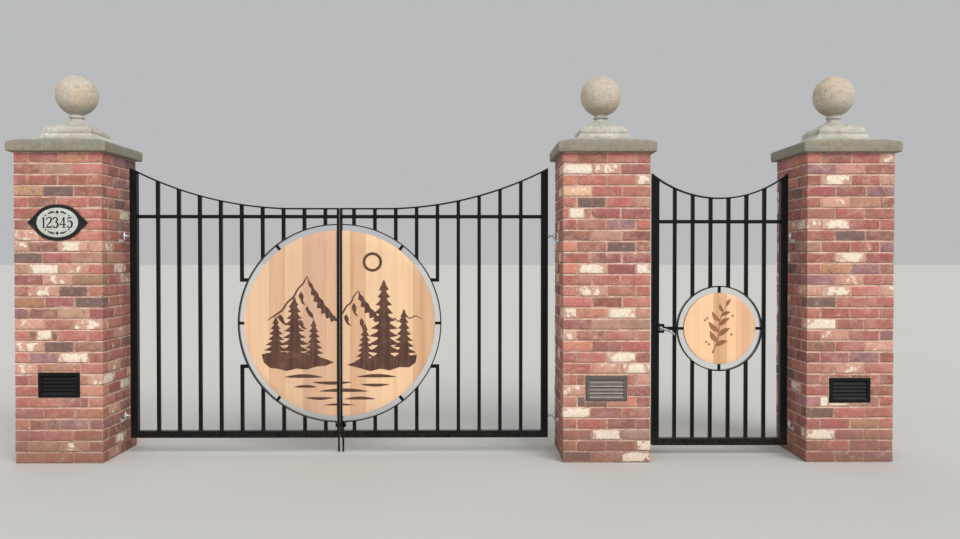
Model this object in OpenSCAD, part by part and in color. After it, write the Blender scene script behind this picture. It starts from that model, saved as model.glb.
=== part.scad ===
// Gateway of three brick piers with a pair of driveway leaves and a side leaf.
// Frame: +X along the gates, +Y to the inner side, +Z up.
// The origin is the centre of the middle pier's base, at ground level.

/* [Piers] */
// Side of each square pier
pier_w = 600; // [560:1:640]
// Height of the brickwork, 28 courses
pier_h = 2134; // [2058:1:2210]
// Clear opening between the left and the middle pier
drive_open = 3156; // [3100:1:3220]
// Clear opening between the middle and the right pier
side_open = 1080; // [1060:1:1120]

/* [Caps] */
// Width of the cap slab
cap_w = 678; // [660:1:700]
// Height of the cap's upright edge
cap_edge = 72; // [60:1:80]
// Width of the plinth under the ball
plinth_w = 336; // [320:1:350]
// Diameter of the ball
ball_d = 288; // [270:1:300]

/* [Driveway leaves] */
// Gap from pier face to hinge stile
hinge_gap = 80; // [76:1:90]
// Gap between the two leaves
meet_gap = 8; // [8:1:12]
// Underside of the bottom rail above the ground
clear_z = 117; // [100:1:130]
// Width and depth of stiles and bottom rail
tube = 50; // [48:1:52]
// Width of a meeting stile
meet_w = 14; // [12:1:16]
// Width of bars and straight upper rails
bar = 25; // [22:1:26]
// Spacing of the bars
bar_pitch = 150; // [148:1:152]
// First bar's distance from the meeting line
bar_first = 103; // [100:1:106]
// Centre height of the straight upper rail
mid_z = 1707; // [1690:1:1715]
// Centre height of the curved top rail where it is level
top_z = 1764; // [1755:0.5:1775]
// Length of the level part of the top rail
level_len = 320; // [280:1:340]
// Radius of the curved part of the top rail
sweep_r = 2560; // [2400:10:2800]
// Thickness of the flat bar along the top
top_t = 10; // [8:1:12]
// Depth of the flat bar along the top
top_d = 38; // [32:1:44]

/* [Medallion of the driveway leaves] */
// Centre height
disc_z = 941; // [930:1:950]
// Radius of the wooden half discs
disc_r = 667; // [650:1:680]
// Thickness of the wood
disc_t = 32; // [26:1:36]
// Outer radius of the ring band
ring_r = 713; // [705:1:718]
// Thickness of the ring band
band = 8; // [6:1:10]
// Depth of the ring band
band_d = 38; // [32:1:44]

/* [Side leaf] */
// Width of the side leaf
side_w = 968; // [950:1:980]
// Gap from the right pier to the side leaf's hinge stile
side_hinge_gap = 54; // [54:1:60]
// Underside of the side leaf above the ground
side_clear = 72; // [60:1:90]
// Middle plane of the side leaf
side_y = -60; // [-80:1:-40]
// Spacing of the side leaf's bars
side_pitch = 128; // [126:1:130]
// Centre height of the side leaf's straight rail
side_mid_z = 1669; // [1660:1:1680]
// Lowest centre height of the side leaf's top rail
side_top_z = 1836; // [1825:1:1850]
// Radius of the side leaf's top rail
side_sweep = 770; // [740:1:820]
// Centre height of the side leaf's medallion
side_disc_z = 906; // [890:1:920]
// Radius of the side leaf's wooden disc
side_disc_r = 255; // [245:1:262]
// Outer radius of the side leaf's ring
side_ring_r = 305; // [300:1:306]

/* [Hinges and rods] */
// Radius of the hinge pins
pin_r = 8; // [7:0.5:9]
// Radial clearance of the hinge eyes
pin_clear = 0.05; // [0.02:0.01:0.1]
// Radius of the drop rods
rod_r = 7; // [5:0.5:8]
// Distance of a drop rod from the meeting line
rod_x = 16; // [14:1:18]

/* [Hidden] */

$fn = 48;
ph = pier_w / 2;
left_x = -(pier_w + drive_open);          // centre of the left pier
right_x = pier_w + side_open;             // centre of the right pier
meet_x = -(ph + drive_open / 2);          // meeting line of the driveway leaves
mg = meet_gap / 2;
leaf_out = drive_open / 2 - hinge_gap;    // outer face of a hinge stile from the meeting line
stile_in = leaf_out - tube;
disc_u = mg + meet_w;                     // inner face of a meeting stile
rail_top = clear_z + tube;
bar_n = 9;
fit = 0.2;                                // gap left at curved seats
light_w = 284;
light_h = 170;
light_d = 70;
light_z = [539, 511, 498];
hinge_z = [275, 1568];
pin_from_pier = 32;
side_pin_from_pier = 32;
side_hinge_z = [222, 1566];
side_cx = ph + side_open - side_hinge_gap - side_w / 2;
side_stile_in = side_w / 2 - tube;
side_rail_top = side_clear + tube;
lock_w = 36;
iron = "#1b1a1c";
zinc = "#b9bcc0";

// ---------- piers, caps, finials ----------
module pier(cx, lz) {
    color("#a8685c")
    difference() {
        translate([cx - ph, -ph, 0]) cube([pier_w, pier_w, pier_h]);
        translate([cx - light_w / 2 - 1, -ph - 1, lz - light_h / 2 - 1])
            cube([light_w + 2, light_d + 2, light_h + 2]);
    }
}

module frustum(w1, w2, z1, z2) {
    hull() {
        translate([-w1 / 2, -w1 / 2, z1]) cube([w1, w1, 0.01]);
        translate([-w2 / 2, -w2 / 2, z2 - 0.01]) cube([w2, w2, 0.01]);
    }
}

cove_z = pier_h + cap_edge + 46;
plinth_z = pier_h + cap_edge + 79;
module cap(cx) {
    color("#b3ab9a")
    translate([cx, 0, 0]) {
        translate([-cap_w / 2, -cap_w / 2, pier_h]) cube([cap_w, cap_w, cap_edge]);
        frustum(cap_w, 396, pier_h + cap_edge, cove_z);
        frustum(396, 352, cove_z, cove_z + 12);
        frustum(352, plinth_w, cove_z + 12, plinth_z);
    }
}

ball_z = plinth_z + 287;
module ball_finial(cx) {
    color("#b9ae98")
    translate([cx, 0, 0]) {
        translate([-plinth_w / 2, -plinth_w / 2, plinth_z]) cube([plinth_w, plinth_w, 27]);
        frustum(plinth_w, plinth_w - 20, plinth_z + 27, plinth_z + 39);
        frustum(plinth_w - 20, 280, plinth_z + 39, plinth_z + 52);
        frustum(280, 184, plinth_z + 52, plinth_z + 75);
        frustum(184, 112, plinth_z + 75, plinth_z + 98);
        frustum(112, 80, plinth_z + 98, plinth_z + 114);
        translate([0, 0, plinth_z + 112]) cylinder(r = 40, h = 10);
        translate([0, 0, plinth_z + 121]) cylinder(r = 53, h = 20);
        translate([0, 0, plinth_z + 140]) cylinder(r = 44, h = 20);
        translate([0, 0, ball_z]) sphere(d = ball_d, $fn = 96);
    }
}

// ---------- recessed lights and number plaque ----------
module brick_light(cx, lz, shade) {
    color(shade)
    translate([cx, -ph, lz]) {
        difference() {
            translate([-light_w / 2, -4, -light_h / 2]) cube([light_w, light_d, light_h]);
            translate([-light_w / 2 + 26, -5, -light_h / 2 + 22]) cube([light_w - 52, 41, light_h - 44]);
        }
        for (k = [0 : 4])
            translate([-light_w / 2 + 26, -1, -light_h / 2 + 23 + k * 24.8])
                rotate([60, 0, 0]) cube([light_w - 52, 26, 3]);
    }
}

function ellipse(a, b, n) = [for (i = [0 : n - 1]) [a * cos(360 * i / n), b * sin(360 * i / n)]];
plaque_z = 1652;
module number_plaque() {
    translate([left_x, -ph, plaque_z]) rotate([90, 0, 0]) color("#14120f") {
        linear_extrude(8) polygon(ellipse(170, 124, 64));
        linear_extrude(8) polygon([[-206, 0], [-160, -46], [160, -46], [206, 0], [160, 46], [-160, 46]]);
        linear_extrude(11) polygon(ellipse(141, 101, 64));
    }
}

// ---------- hinge bolts fixed in the piers ----------
// Local frame: pin on the Z axis, eye centred at z = 0, pier face at x = -reach.
module j_bolt(reach) {
    bend = 18;
    leg_z = -18 - bend;
    translate([0, 0, leg_z + bend]) cylinder(r = pin_r, h = 36 - bend + 18 + 6);
    translate([0, 0, -14.4]) cylinder(r = 14, h = 3);
    translate([-bend, 0, leg_z + bend]) rotate([-90, 0, 0])
        rotate_extrude(angle = 90) translate([bend, 0]) circle(r = pin_r);
    translate([-reach, 0, leg_z]) rotate([0, 90, 0]) cylinder(r = pin_r, h = reach - bend);
    translate([-reach, 0, leg_z]) rotate([0, 90, 0]) cylinder(r = 18, h = 3);
    translate([-reach, 0, leg_z]) rotate([0, 90, 0]) cylinder(r = 14, h = 13, $fn = 6);
}
module left_pier_hinge_bolts() {
    color(zinc) for (z = hinge_z)
        translate([left_x + ph + pin_from_pier, 0, z]) j_bolt(pin_from_pier);
}
module centre_pier_hinge_bolts() {
    color(zinc) for (z = hinge_z)
        translate([-ph - pin_from_pier, 0, z]) mirror([1, 0, 0]) j_bolt(pin_from_pier);
}
module right_pier_hinge_bolts() {
    color(zinc) for (z = side_hinge_z)
        translate([right_x - ph - side_pin_from_pier, side_y, z]) mirror([1, 0, 0]) j_bolt(side_pin_from_pier);
}

// ---------- driveway leaf, in its own coordinate u from the meeting line ----------
module sweep_cut(grow) {
    translate([level_len, 0, top_z + sweep_r]) rotate([90, 0, 0])
        cylinder(r = sweep_r + top_t / 2 + grow, h = 200, center = true, $fn = 720);
}
module under_top(grow) {
    // everything above the top rail's underside
    translate([-10, -100, top_z - top_t / 2 - grow]) cube([level_len + 10, 200, 900]);
    intersection() {
        sweep_cut(grow);
        translate([level_len - 0.5, -100, top_z - 100]) cube([leaf_out, 200, 900]);
    }
}

module leaf_stiles() {
    difference() {
        union() {
            translate([stile_in, -tube / 2, clear_z]) cube([tube, tube, 2200 - clear_z]);
            translate([mg, -tube / 2, clear_z]) cube([meet_w, tube, top_z - top_t / 2 - clear_z]);
        }
        under_top(0);
    }
}
module leaf_rails() {
    translate([disc_u, -tube / 2, clear_z]) cube([stile_in - disc_u, tube, tube]);
    translate([disc_u, -bar / 2, mid_z - bar / 2]) cube([stile_in - disc_u, bar, bar]);
}
module leaf_top_rail() {
    translate([mg, -top_d / 2, top_z - top_t / 2]) cube([level_len - mg + 0.5, top_d, top_t]);
    intersection() {
        translate([level_len, 0, top_z + sweep_r]) rotate([90, 0, 0]) difference() {
            cylinder(r = sweep_r + top_t / 2, h = top_d, center = true, $fn = 720);
            cylinder(r = sweep_r - top_t / 2, h = top_d + 2, center = true, $fn = 720);
        }
        translate([level_len, -top_d, top_z - 100]) cube([leaf_out - level_len, 2 * top_d, 600]);
    }
}
function bar_u(k) = bar_first + k * bar_pitch;
elbow_z = 298;
module leaf_bars() {
    difference() {
        for (k = [0 : bar_n - 1]) {
            u = bar_u(k);
            // short piece between the two upper rails
            translate([u - bar / 2, -bar / 2, mid_z + bar / 2]) cube([bar, bar, 500]);
            if (k == 4) {
                translate([u - bar / 2, -bar / 2, rail_top]) cube([bar, bar, disc_z - elbow_z - rail_top]);
                translate([u - bar / 2 - 80, -bar / 2, disc_z - elbow_z - bar]) cube([80, bar, bar]);
                translate([u - bar / 2, -bar / 2, disc_z + elbow_z]) cube([bar, bar, mid_z - bar / 2 - disc_z - elbow_z]);
                translate([u - bar / 2 - 80, -bar / 2, disc_z + elbow_z]) cube([80, bar, bar]);
            } else
                translate([u - bar / 2, -bar / 2, rail_top]) cube([bar, bar, mid_z - bar / 2 - rail_top]);
        }
        under_top(fit);
        translate([disc_u, 0, disc_z]) rotate([90, 0, 0])
            cylinder(r = ring_r + fit, h = 60, center = true, $fn = 180);
    }
}
module half_space() {
    translate([disc_u, -100, disc_z - 1000]) cube([1000, 200, 2000]);
}
module leaf_ring() {
    intersection() {
        translate([disc_u, 0, disc_z]) rotate([90, 0, 0]) difference() {
            cylinder(r = ring_r, h = band_d, center = true, $fn = 180);
            cylinder(r = ring_r - band, h = band_d + 2, center = true, $fn = 180);
        }
        half_space();
    }
}
module spoke(a, r0, r1) {
    rotate([0, -a, 0]) translate([r0 + fit, -7, -10]) cube([r1 - r0 - 2 * fit, 14, 20]);
}
module leaf_spokes() {
    translate([disc_u, 0, disc_z])
        for (a = [-52, 0, 52]) spoke(a, disc_r + 0.2, ring_r - band - 0.2);
}
module leaf_disc() {
    intersection() {
        translate([disc_u, 0, disc_z]) rotate([90, 0, 0])
            cylinder(r = disc_r, h = disc_t, center = true, $fn = 180);
        half_space();
    }
}
// Local frame: pin on the Z axis, stile face at x = +reach.
module hinge_eye(reach) {
    nut = min(11, reach - 15.5);
    difference() {
        union() {
            cylinder(r = 17, h = 22, center = true);
            rotate([0, 90, 0]) cylinder(r = 8, h = reach);
            translate([reach - nut, 0, 0]) rotate([0, 90, 0]) cylinder(r = 14, h = nut, $fn = 6);
        }
        cylinder(r = pin_r + pin_clear, h = 60, center = true);
    }
}
module leaf_hinge_eyes() {
    for (z = hinge_z)
        translate([leaf_out + hinge_gap - pin_from_pier, 0, z]) mirror([1, 0, 0])
            hinge_eye(hinge_gap - pin_from_pier);
}
rod_y = 42;
rod_tip = 3;
guide_z = [127, 185];
guide_h = 28;
module leaf_rod_guides() {
    for (z = guide_z)
        translate([0, 0, z]) difference() {
            translate([mg, tube / 2, 0]) cube([34, rod_y + 12 - tube / 2, guide_h]);
            translate([rod_x, rod_y, -1]) cylinder(r = rod_r + 0.5, h = guide_h + 2);
        }
}
module leaf_drop_rod() {
    ht = guide_z[1] + guide_h + 1.5;
    translate([rod_x, rod_y, rod_tip]) cylinder(r = rod_r, h = ht + 6 - rod_tip);
    translate([rod_x, rod_y, ht + 6]) sphere(r = rod_r);
    translate([rod_x, rod_y, ht + 6]) rotate([0, 90, 0]) cylinder(r = rod_r, h = 24);
    translate([rod_x + 24, rod_y, ht + 6]) sphere(r = rod_r);
}

module on_right() { translate([meet_x, 0, 0]) children(); }
module on_left() { translate([meet_x, 0, 0]) mirror([1, 0, 0]) children(); }

// ---------- side leaf, in its own frame at the middle of the leaf ----------
module side_ring_axis(h, r) {
    translate([0, 0, side_disc_z]) rotate([90, 0, 0]) cylinder(r = r, h = h, center = true, $fn = 120);
}
module side_under_top(grow) {
    translate([0, 0, side_top_z + side_sweep]) rotate([90, 0, 0])
        cylinder(r = side_sweep + top_t / 2 + grow, h = 200, center = true, $fn = 360);
}
module on_side() { translate([side_cx, side_y, 0]) children(); }
module side_stiles() {
    color(iron) on_side() difference() {
        for (s = [-1, 1])
            translate([s * (side_w / 2 - tube / 2) - tube / 2, -tube / 2, side_clear]) cube([tube, tube, 2100 - side_clear]);
        side_under_top(0);
        translate([-side_w, -50, side_top_z + 260]) cube([2 * side_w, 100, 500]);
    }
}
module side_rails() {
    color(iron) on_side() {
        translate([-side_stile_in, -tube / 2, side_clear]) cube([2 * side_stile_in, tube, tube]);
        translate([-side_stile_in, -bar / 2, side_mid_z - bar / 2]) cube([2 * side_stile_in, bar, bar]);
        translate([-side_stile_in + lock_w, -bar / 2, side_disc_z - bar / 2])
            cube([side_stile_in - lock_w - 2.5 * side_pitch - bar / 2, bar, bar]);
    }
}
module side_top_rail() {
    color(iron) on_side() intersection() {
        translate([0, 0, side_top_z + side_sweep]) rotate([90, 0, 0]) difference() {
            cylinder(r = side_sweep + top_t / 2, h = top_d, center = true, $fn = 360);
            cylinder(r = side_sweep - top_t / 2, h = top_d + 2, center = true, $fn = 360);
        }
        translate([-side_w / 2, -top_d, side_top_z - 50]) cube([side_w, 2 * top_d, 400]);
    }
}
module side_bars() {
    color(iron) on_side() difference() {
        for (k = [-2.5 : 1 : 2.5]) {
            u = k * side_pitch;
            translate([u - bar / 2, -bar / 2, side_mid_z + bar / 2]) cube([bar, bar, 400]);
            translate([u - bar / 2, -bar / 2, side_rail_top]) cube([bar, bar, side_mid_z - bar / 2 - side_rail_top]);
        }
        side_under_top(fit);
        side_ring_axis(60, side_ring_r + fit);
    }
}
module side_ring() {
    color(iron) on_side() difference() {
        side_ring_axis(band_d, side_ring_r);
        side_ring_axis(band_d + 2, side_ring_r - band);
    }
}
module side_ring_spokes() {
    color(iron) on_side() translate([0, 0, side_disc_z])
        for (a = [-90, 0, 90, 180]) spoke(a, side_disc_r + 0.2, side_ring_r - band - 0.2);
}
module side_disc() {
    color("#e2b98f") on_side() side_ring_axis(disc_t, side_disc_r);
}
module side_hinge_eyes() {
    color(zinc) for (z = side_hinge_z)
        translate([side_cx + side_w / 2 + side_hinge_gap - side_pin_from_pier, side_y, z]) mirror([1, 0, 0])
            hinge_eye(side_hinge_gap - side_pin_from_pier);
}
// Lock case: a box on the latch stile's inner face, its front plate lapping the stile,
// with a round rose for the lever
latch_u = -side_stile_in + 10;
case_y = -tube / 2 - 4;
module side_lock_case() {
    color(iron) on_side() {
        translate([-side_stile_in, -tube / 2, side_disc_z - 28]) cube([lock_w, tube, 60]);
        translate([-side_stile_in - 16, case_y, side_disc_z - 30]) cube([lock_w + 16, 4, 64]);
        translate([latch_u, case_y + 1, side_disc_z]) rotate([90, 0, 0]) cylinder(r = 17, h = 6);
    }
}
// Lever outline: an arm that droops towards its tip
lever_len = 98;
function lever_z(t) = -16 * t - 28 * pow(t, 3);
function lever_w(t) = 9 - 3 * t;
module side_latch_lever() {
    n = 12;
    color(zinc) on_side() translate([latch_u, case_y, side_disc_z]) {
        translate([0, -5.5, 0]) rotate([90, 0, 0]) cylinder(r = 12, h = 20);
        translate([0, -14, 0]) rotate([90, 0, 0]) linear_extrude(9) polygon(concat(
            [for (i = [0 : n]) [lever_len * i / n, lever_z(i / n) + lever_w(i / n)]],
            [for (i = [n : -1 : 0]) [lever_len * i / n, lever_z(i / n) - lever_w(i / n)]]));
    }
}

pier(left_x, light_z[0]);  // left_pier
pier(0, light_z[1]);  // centre_pier
pier(right_x, light_z[2]);  // right_pier
cap(left_x);  // left_cap
cap(0);  // centre_cap
cap(right_x);  // right_cap
ball_finial(left_x);  // left_ball_finial
ball_finial(0);  // centre_ball_finial
ball_finial(right_x);  // right_ball_finial
brick_light(left_x, light_z[0], "#1a1819");  // left_brick_light
brick_light(0, light_z[1], "#8b8780");  // centre_brick_light
brick_light(right_x, light_z[2], "#1a1819");  // right_brick_light
number_plaque();
left_pier_hinge_bolts();
centre_pier_hinge_bolts();
right_pier_hinge_bolts();
color(iron) on_left() leaf_stiles();  // left_stiles
color(iron) on_left() leaf_rails();  // left_rails
color(iron) on_left() leaf_top_rail();  // left_top_rail
color(iron) on_left() leaf_bars();  // left_bars
color(iron) on_left() leaf_ring();  // left_ring
color(iron) on_left() leaf_spokes();  // left_ring_spokes
color("#e2b98f") on_left() leaf_disc();  // left_half_disc
color(zinc) on_left() leaf_hinge_eyes();  // left_hinge_eyes
color(iron) on_left() leaf_rod_guides();  // left_rod_guides
color(iron) on_left() leaf_drop_rod();  // left_drop_rod
color(iron) on_right() leaf_stiles();  // right_stiles
color(iron) on_right() leaf_rails();  // right_rails
color(iron) on_right() leaf_top_rail();  // right_top_rail
color(iron) on_right() leaf_bars();  // right_bars
color(iron) on_right() leaf_ring();  // right_ring
color(iron) on_right() leaf_spokes();  // right_ring_spokes
color("#e2b98f") on_right() leaf_disc();  // right_half_disc
color(zinc) on_right() leaf_hinge_eyes();  // right_hinge_eyes
color(iron) on_right() leaf_rod_guides();  // right_rod_guides
color(iron) on_right() leaf_drop_rod();  // right_drop_rod
side_stiles();
side_rails();
side_top_rail();
side_bars();
side_ring();
side_ring_spokes();
side_disc();
side_hinge_eyes();
side_lock_case();
side_latch_lever();
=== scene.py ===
"""Looks of the gateway: brick piers with cast stone caps and ball finials, black ironwork with wooden medallions,
zinc hinges, recessed lights and an oval plaque. Lengths in the building functions are millimetres, in the row frame."""

import math

import bpy
import numpy as np
from mathutils import Matrix, Vector


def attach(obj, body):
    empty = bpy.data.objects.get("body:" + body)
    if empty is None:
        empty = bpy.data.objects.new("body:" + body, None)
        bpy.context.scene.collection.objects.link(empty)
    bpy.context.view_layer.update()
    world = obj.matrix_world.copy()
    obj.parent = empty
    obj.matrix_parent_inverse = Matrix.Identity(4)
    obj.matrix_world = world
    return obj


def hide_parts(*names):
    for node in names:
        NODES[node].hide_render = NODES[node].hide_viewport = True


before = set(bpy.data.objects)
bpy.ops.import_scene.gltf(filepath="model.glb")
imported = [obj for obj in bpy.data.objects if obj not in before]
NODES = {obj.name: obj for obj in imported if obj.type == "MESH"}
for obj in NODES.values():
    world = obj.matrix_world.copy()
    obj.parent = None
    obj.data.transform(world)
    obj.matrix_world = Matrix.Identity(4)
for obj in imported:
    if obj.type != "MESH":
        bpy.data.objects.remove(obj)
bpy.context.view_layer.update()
MM = 0.001

# ---------------------------------------------------------------- sizes, as in the CAD
PIER_W, PIER_H = 600.0, 2134.0
PIERS = {"left": -3756.0, "centre": 0.0, "right": 1680.0}
LIGHT_Z = {"left": 539.0, "centre": 511.0, "right": 498.0}
MEET_X = -1878.0
DISC_Z, DISC_R, DISC_T = 941.0, 667.0, 32.0
STRIP = 18.0  # from the meeting line to a half disc's straight edge
SIDE_X, SIDE_Y, SIDE_Z, SIDE_R = 842.0, -60.0, 906.0, 255.0
COURSE = 76.2
PLINTH_Z = 2285.0

rng = np.random.default_rng(11)


# ---------------------------------------------------------------- mesh helpers
def _lattice(i, j, k, seed):
    h = (i * 374761393 + j * 668265263 + k * 1442695041 + seed * 1274126177) & 0xFFFFFFFF
    h = ((h ^ (h >> 13)) * 1103515245) & 0xFFFFFFFF
    h = ((h ^ (h >> 15)) * 1274126177) & 0xFFFFFFFF
    return ((h ^ (h >> 16)) & 0xFFFFFF) / float(0xFFFFFF)


def lumps(p, size, seed=0):
    """Smooth noise from -1 to 1 at points p; size is the length of a lump."""
    q = np.asarray(p, float) / size
    i = np.floor(q).astype(np.int64)
    f = q - i
    f = f * f * (3 - 2 * f)
    out = np.zeros(len(q))
    for a in (0, 1):
        for b in (0, 1):
            for c in (0, 1):
                w = (
                    (f[:, 0] if a else 1 - f[:, 0])
                    * (f[:, 1] if b else 1 - f[:, 1])
                    * (f[:, 2] if c else 1 - f[:, 2])
                )
                out += w * _lattice(i[:, 0] + a, i[:, 1] + b, i[:, 2] + c, seed)
    return out * 2 - 1


class Pile:
    """Collects vertices, faces and vertex attributes of one piece."""

    def __init__(self):
        self.v, self.f, self.n, self.a = [], [], 0, {}

    def add(self, v, f, **attrs):
        v = np.asarray(v, float).reshape(-1, 3)
        self.v.append(v)
        n = self.n
        self.f.extend([tuple(i + n for i in q) for q in f])
        for key, value in attrs.items():
            value = np.asarray(value, float)
            if value.ndim == 0:
                value = np.full(len(v), float(value))
            elif value.ndim == 1 and len(value) != len(v):
                value = np.tile(value, (len(v), 1))
            self.a.setdefault(key, []).append(value)
        self.n += len(v)
        return self

    def points(self):
        return np.vstack(self.v)

    def make(self, name, body, material, slot=None, replaces=(), smooth=35.0):
        me = bpy.data.meshes.new(name)
        me.from_pydata((self.points() * MM).tolist(), [], self.f)
        for key, parts in self.a.items():
            value = np.concatenate(parts)
            if value.ndim == 1:
                me.attributes.new(key, "FLOAT", "POINT").data.foreach_set("value", value.astype(np.float32))
            else:
                value = np.hstack([value, np.ones((len(value), 1))]) if value.shape[1] == 3 else value
                me.attributes.new(key, "FLOAT_COLOR", "POINT").data.foreach_set(
                    "color", value.astype(np.float32).ravel()
                )
        me.update()
        for m in material if isinstance(material, (list, tuple)) else [material]:
            me.materials.append(m)
        return place(me, name, body, replaces, smooth)


def place(me, name, body, replaces=(), smooth=35.0):
    me.shade_smooth()
    if smooth < 180:
        me.set_sharp_from_angle(angle=math.radians(smooth))
    o = bpy.data.objects.new(name, me)
    bpy.context.scene.collection.objects.link(o)
    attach(o, body)
    if replaces:
        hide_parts(*replaces)
    return o


_grids = {}


def box_grid(nx, ny, nz):
    """A box's surface grid: each vertex's three steps, and the quads, which face out."""
    if (nx, ny, nz) in _grids:
        return _grids[nx, ny, nz]
    index, ids, quads = {}, [], []

    def v(i, j, k):
        if (i, j, k) not in index:
            index[i, j, k] = len(ids)
            ids.append((i, j, k))
        return index[i, j, k]

    for j in range(ny):
        for i in range(nx):
            quads.append((v(i, j, 0), v(i, j + 1, 0), v(i + 1, j + 1, 0), v(i + 1, j, 0)))
            quads.append((v(i, j, nz), v(i + 1, j, nz), v(i + 1, j + 1, nz), v(i, j + 1, nz)))
    for k in range(nz):
        for i in range(nx):
            quads.append((v(i, 0, k), v(i + 1, 0, k), v(i + 1, 0, k + 1), v(i, 0, k + 1)))
            quads.append((v(i, ny, k), v(i, ny, k + 1), v(i + 1, ny, k + 1), v(i + 1, ny, k)))
        for j in range(ny):
            quads.append((v(0, j, k), v(0, j, k + 1), v(0, j + 1, k + 1), v(0, j + 1, k)))
            quads.append((v(nx, j, k), v(nx, j + 1, k), v(nx, j + 1, k + 1), v(nx, j, k + 1)))
    _grids[nx, ny, nz] = (np.array(ids), quads)
    return _grids[nx, ny, nz]


def rounded(p, lo, hi, r):
    """Pulls the surface points of a box onto its rounding of radius r, which may differ from point to point."""
    r = np.minimum(np.asarray(r, float), np.min(np.asarray(hi) - np.asarray(lo)) / 2 - 1e-6)
    r = np.broadcast_to(r, (len(p),))[:, None]
    inner = np.clip(p, np.asarray(lo) + r, np.asarray(hi) - r)
    d = p - inner
    n = np.linalg.norm(d, axis=1, keepdims=True)
    return np.where(n > 1e-9, inner + d * (r / np.maximum(n, 1e-9)), p)


def soft_box(pile, lo, hi, r, n=(2, 2, 2), **attrs):
    """A box with rounded edges; n is the number of inner steps along each axis."""
    lo, hi = np.asarray(lo, float), np.asarray(hi, float)
    stops = []
    for a in range(3):
        size = hi[a] - lo[a]
        e = min(r, size * 0.45)
        inner = np.linspace(e, size - e, n[a] + 1)
        stops.append(lo[a] + np.concatenate([[0, e * 0.35], inner, [size - e * 0.35, size]]))
    ids, quads = box_grid(*[len(s) - 1 for s in stops])
    p = np.stack([stops[a][ids[:, a]] for a in range(3)], axis=1)
    return pile.add(rounded(p, lo, hi, r), quads, **attrs)


def strip_faces(rings, n, closed=True):
    """Quads between rings of n points each."""
    f = []
    last = n if closed else n - 1
    for a in range(rings - 1):
        for i in range(last):
            j = (i + 1) % n
            f.append((a * n + i, a * n + j, (a + 1) * n + j, (a + 1) * n + i))
    return f


def loft(pile, rings, cap_start=True, cap_end=True, **attrs):
    """Skins rings that go anticlockwise seen from their end, and closes both ends with a fan."""
    n = len(rings[0])
    v = np.vstack(rings)
    f = strip_faces(len(rings), n)
    extra = []
    total = len(v)
    if cap_start:
        extra.append(np.mean(rings[0], axis=0))
        f += [((i + 1) % n, i, total) for i in range(n)]
        total += 1
    if cap_end:
        extra.append(np.mean(rings[-1], axis=0))
        base = (len(rings) - 1) * n
        f += [(base + i, base + (i + 1) % n, total) for i in range(n)]
    if extra:
        v = np.vstack([v, extra])
    return pile.add(v, f, **attrs)


def axes_for(direction):
    """Two directions at right angles to a direction, so that (u, v, direction) is right-handed."""
    w = np.asarray(direction, float)
    w = w / np.linalg.norm(w)
    u = np.cross([0, 0, 1.0] if abs(w[2]) < 0.9 else [1.0, 0, 0], w)
    u /= np.linalg.norm(u)
    return u, np.cross(w, u), w


def turned(pile, profile, centre, axis=(0, 0, 1), n=32, radius_at=None, closed=False, caps=True, **attrs):
    """A turned piece: profile is (radius, distance along the axis). radius_at(angle, r) may change a radius."""
    u, v, w = axes_for(axis)
    ang = np.arange(n) * 2 * math.pi / n
    rings = []
    for r, h in profile:
        rr = np.full(n, float(r)) if radius_at is None else radius_at(ang, float(r))
        rings.append(
            np.asarray(centre, float)
            + np.outer(np.cos(ang) * rr, u)
            + np.outer(np.sin(ang) * rr, v)
            + np.asarray(w) * h
        )
    if closed:
        k = len(rings)
        vv = np.vstack(rings)
        f = strip_faces(k, n) + [((k - 1) * n + i, (k - 1) * n + (i + 1) % n, (i + 1) % n, i) for i in range(n)]
        return pile.add(vv, f, **attrs)
    return loft(pile, rings, caps, caps, **attrs)


def hex_radius(across_corners, chamfer=0.0):
    apothem = across_corners * math.cos(math.pi / 6)

    def at(ang, r):
        local = (ang + math.pi / 6) % (math.pi / 3) - math.pi / 6
        return np.minimum(apothem / np.cos(local), r)

    return at


def hex_nut(pile, centre, axis, across_corners, height, **attrs):
    """A chamfered hexagonal nut or bolt head; centre is the middle of its lower face."""
    c, h = across_corners, height
    profile = [(c * 0.90, 0), (c * 0.955, h * 0.05), (c, h * 0.16), (c, h * 0.84), (c * 0.955, h * 0.95), (c * 0.90, h)]
    return turned(pile, profile, centre, axis, 48, hex_radius(c), **attrs)


def tube(pile, path, radius, sides=16, caps=True, **attrs):
    """A round bar swept along a path."""
    path = np.asarray(path, float)
    radius = np.broadcast_to(np.asarray(radius, float), (len(path),))
    tangents = np.gradient(path, axis=0)
    tangents /= np.linalg.norm(tangents, axis=1, keepdims=True)
    u, v, w = axes_for(tangents[0])
    ang = np.arange(sides) * 2 * math.pi / sides
    rings = []
    for i, p in enumerate(path):
        t = tangents[i]
        u = u - t * np.dot(u, t)
        u /= np.linalg.norm(u)
        v = np.cross(t, u)
        rings.append(p + radius[i] * (np.outer(np.cos(ang), u) + np.outer(np.sin(ang), v)))
    return loft(pile, rings, caps, caps, **attrs)


def arc(centre, r, a0, a1, n, plane="xz", at=0.0):
    """Points of an arc in the xz plane, angles in degrees."""
    t = np.radians(np.linspace(a0, a1, n))
    x, z = centre[0] + r * np.cos(t), centre[1] + r * np.sin(t)
    return np.stack([x, np.full(n, at), z], axis=1)


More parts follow.
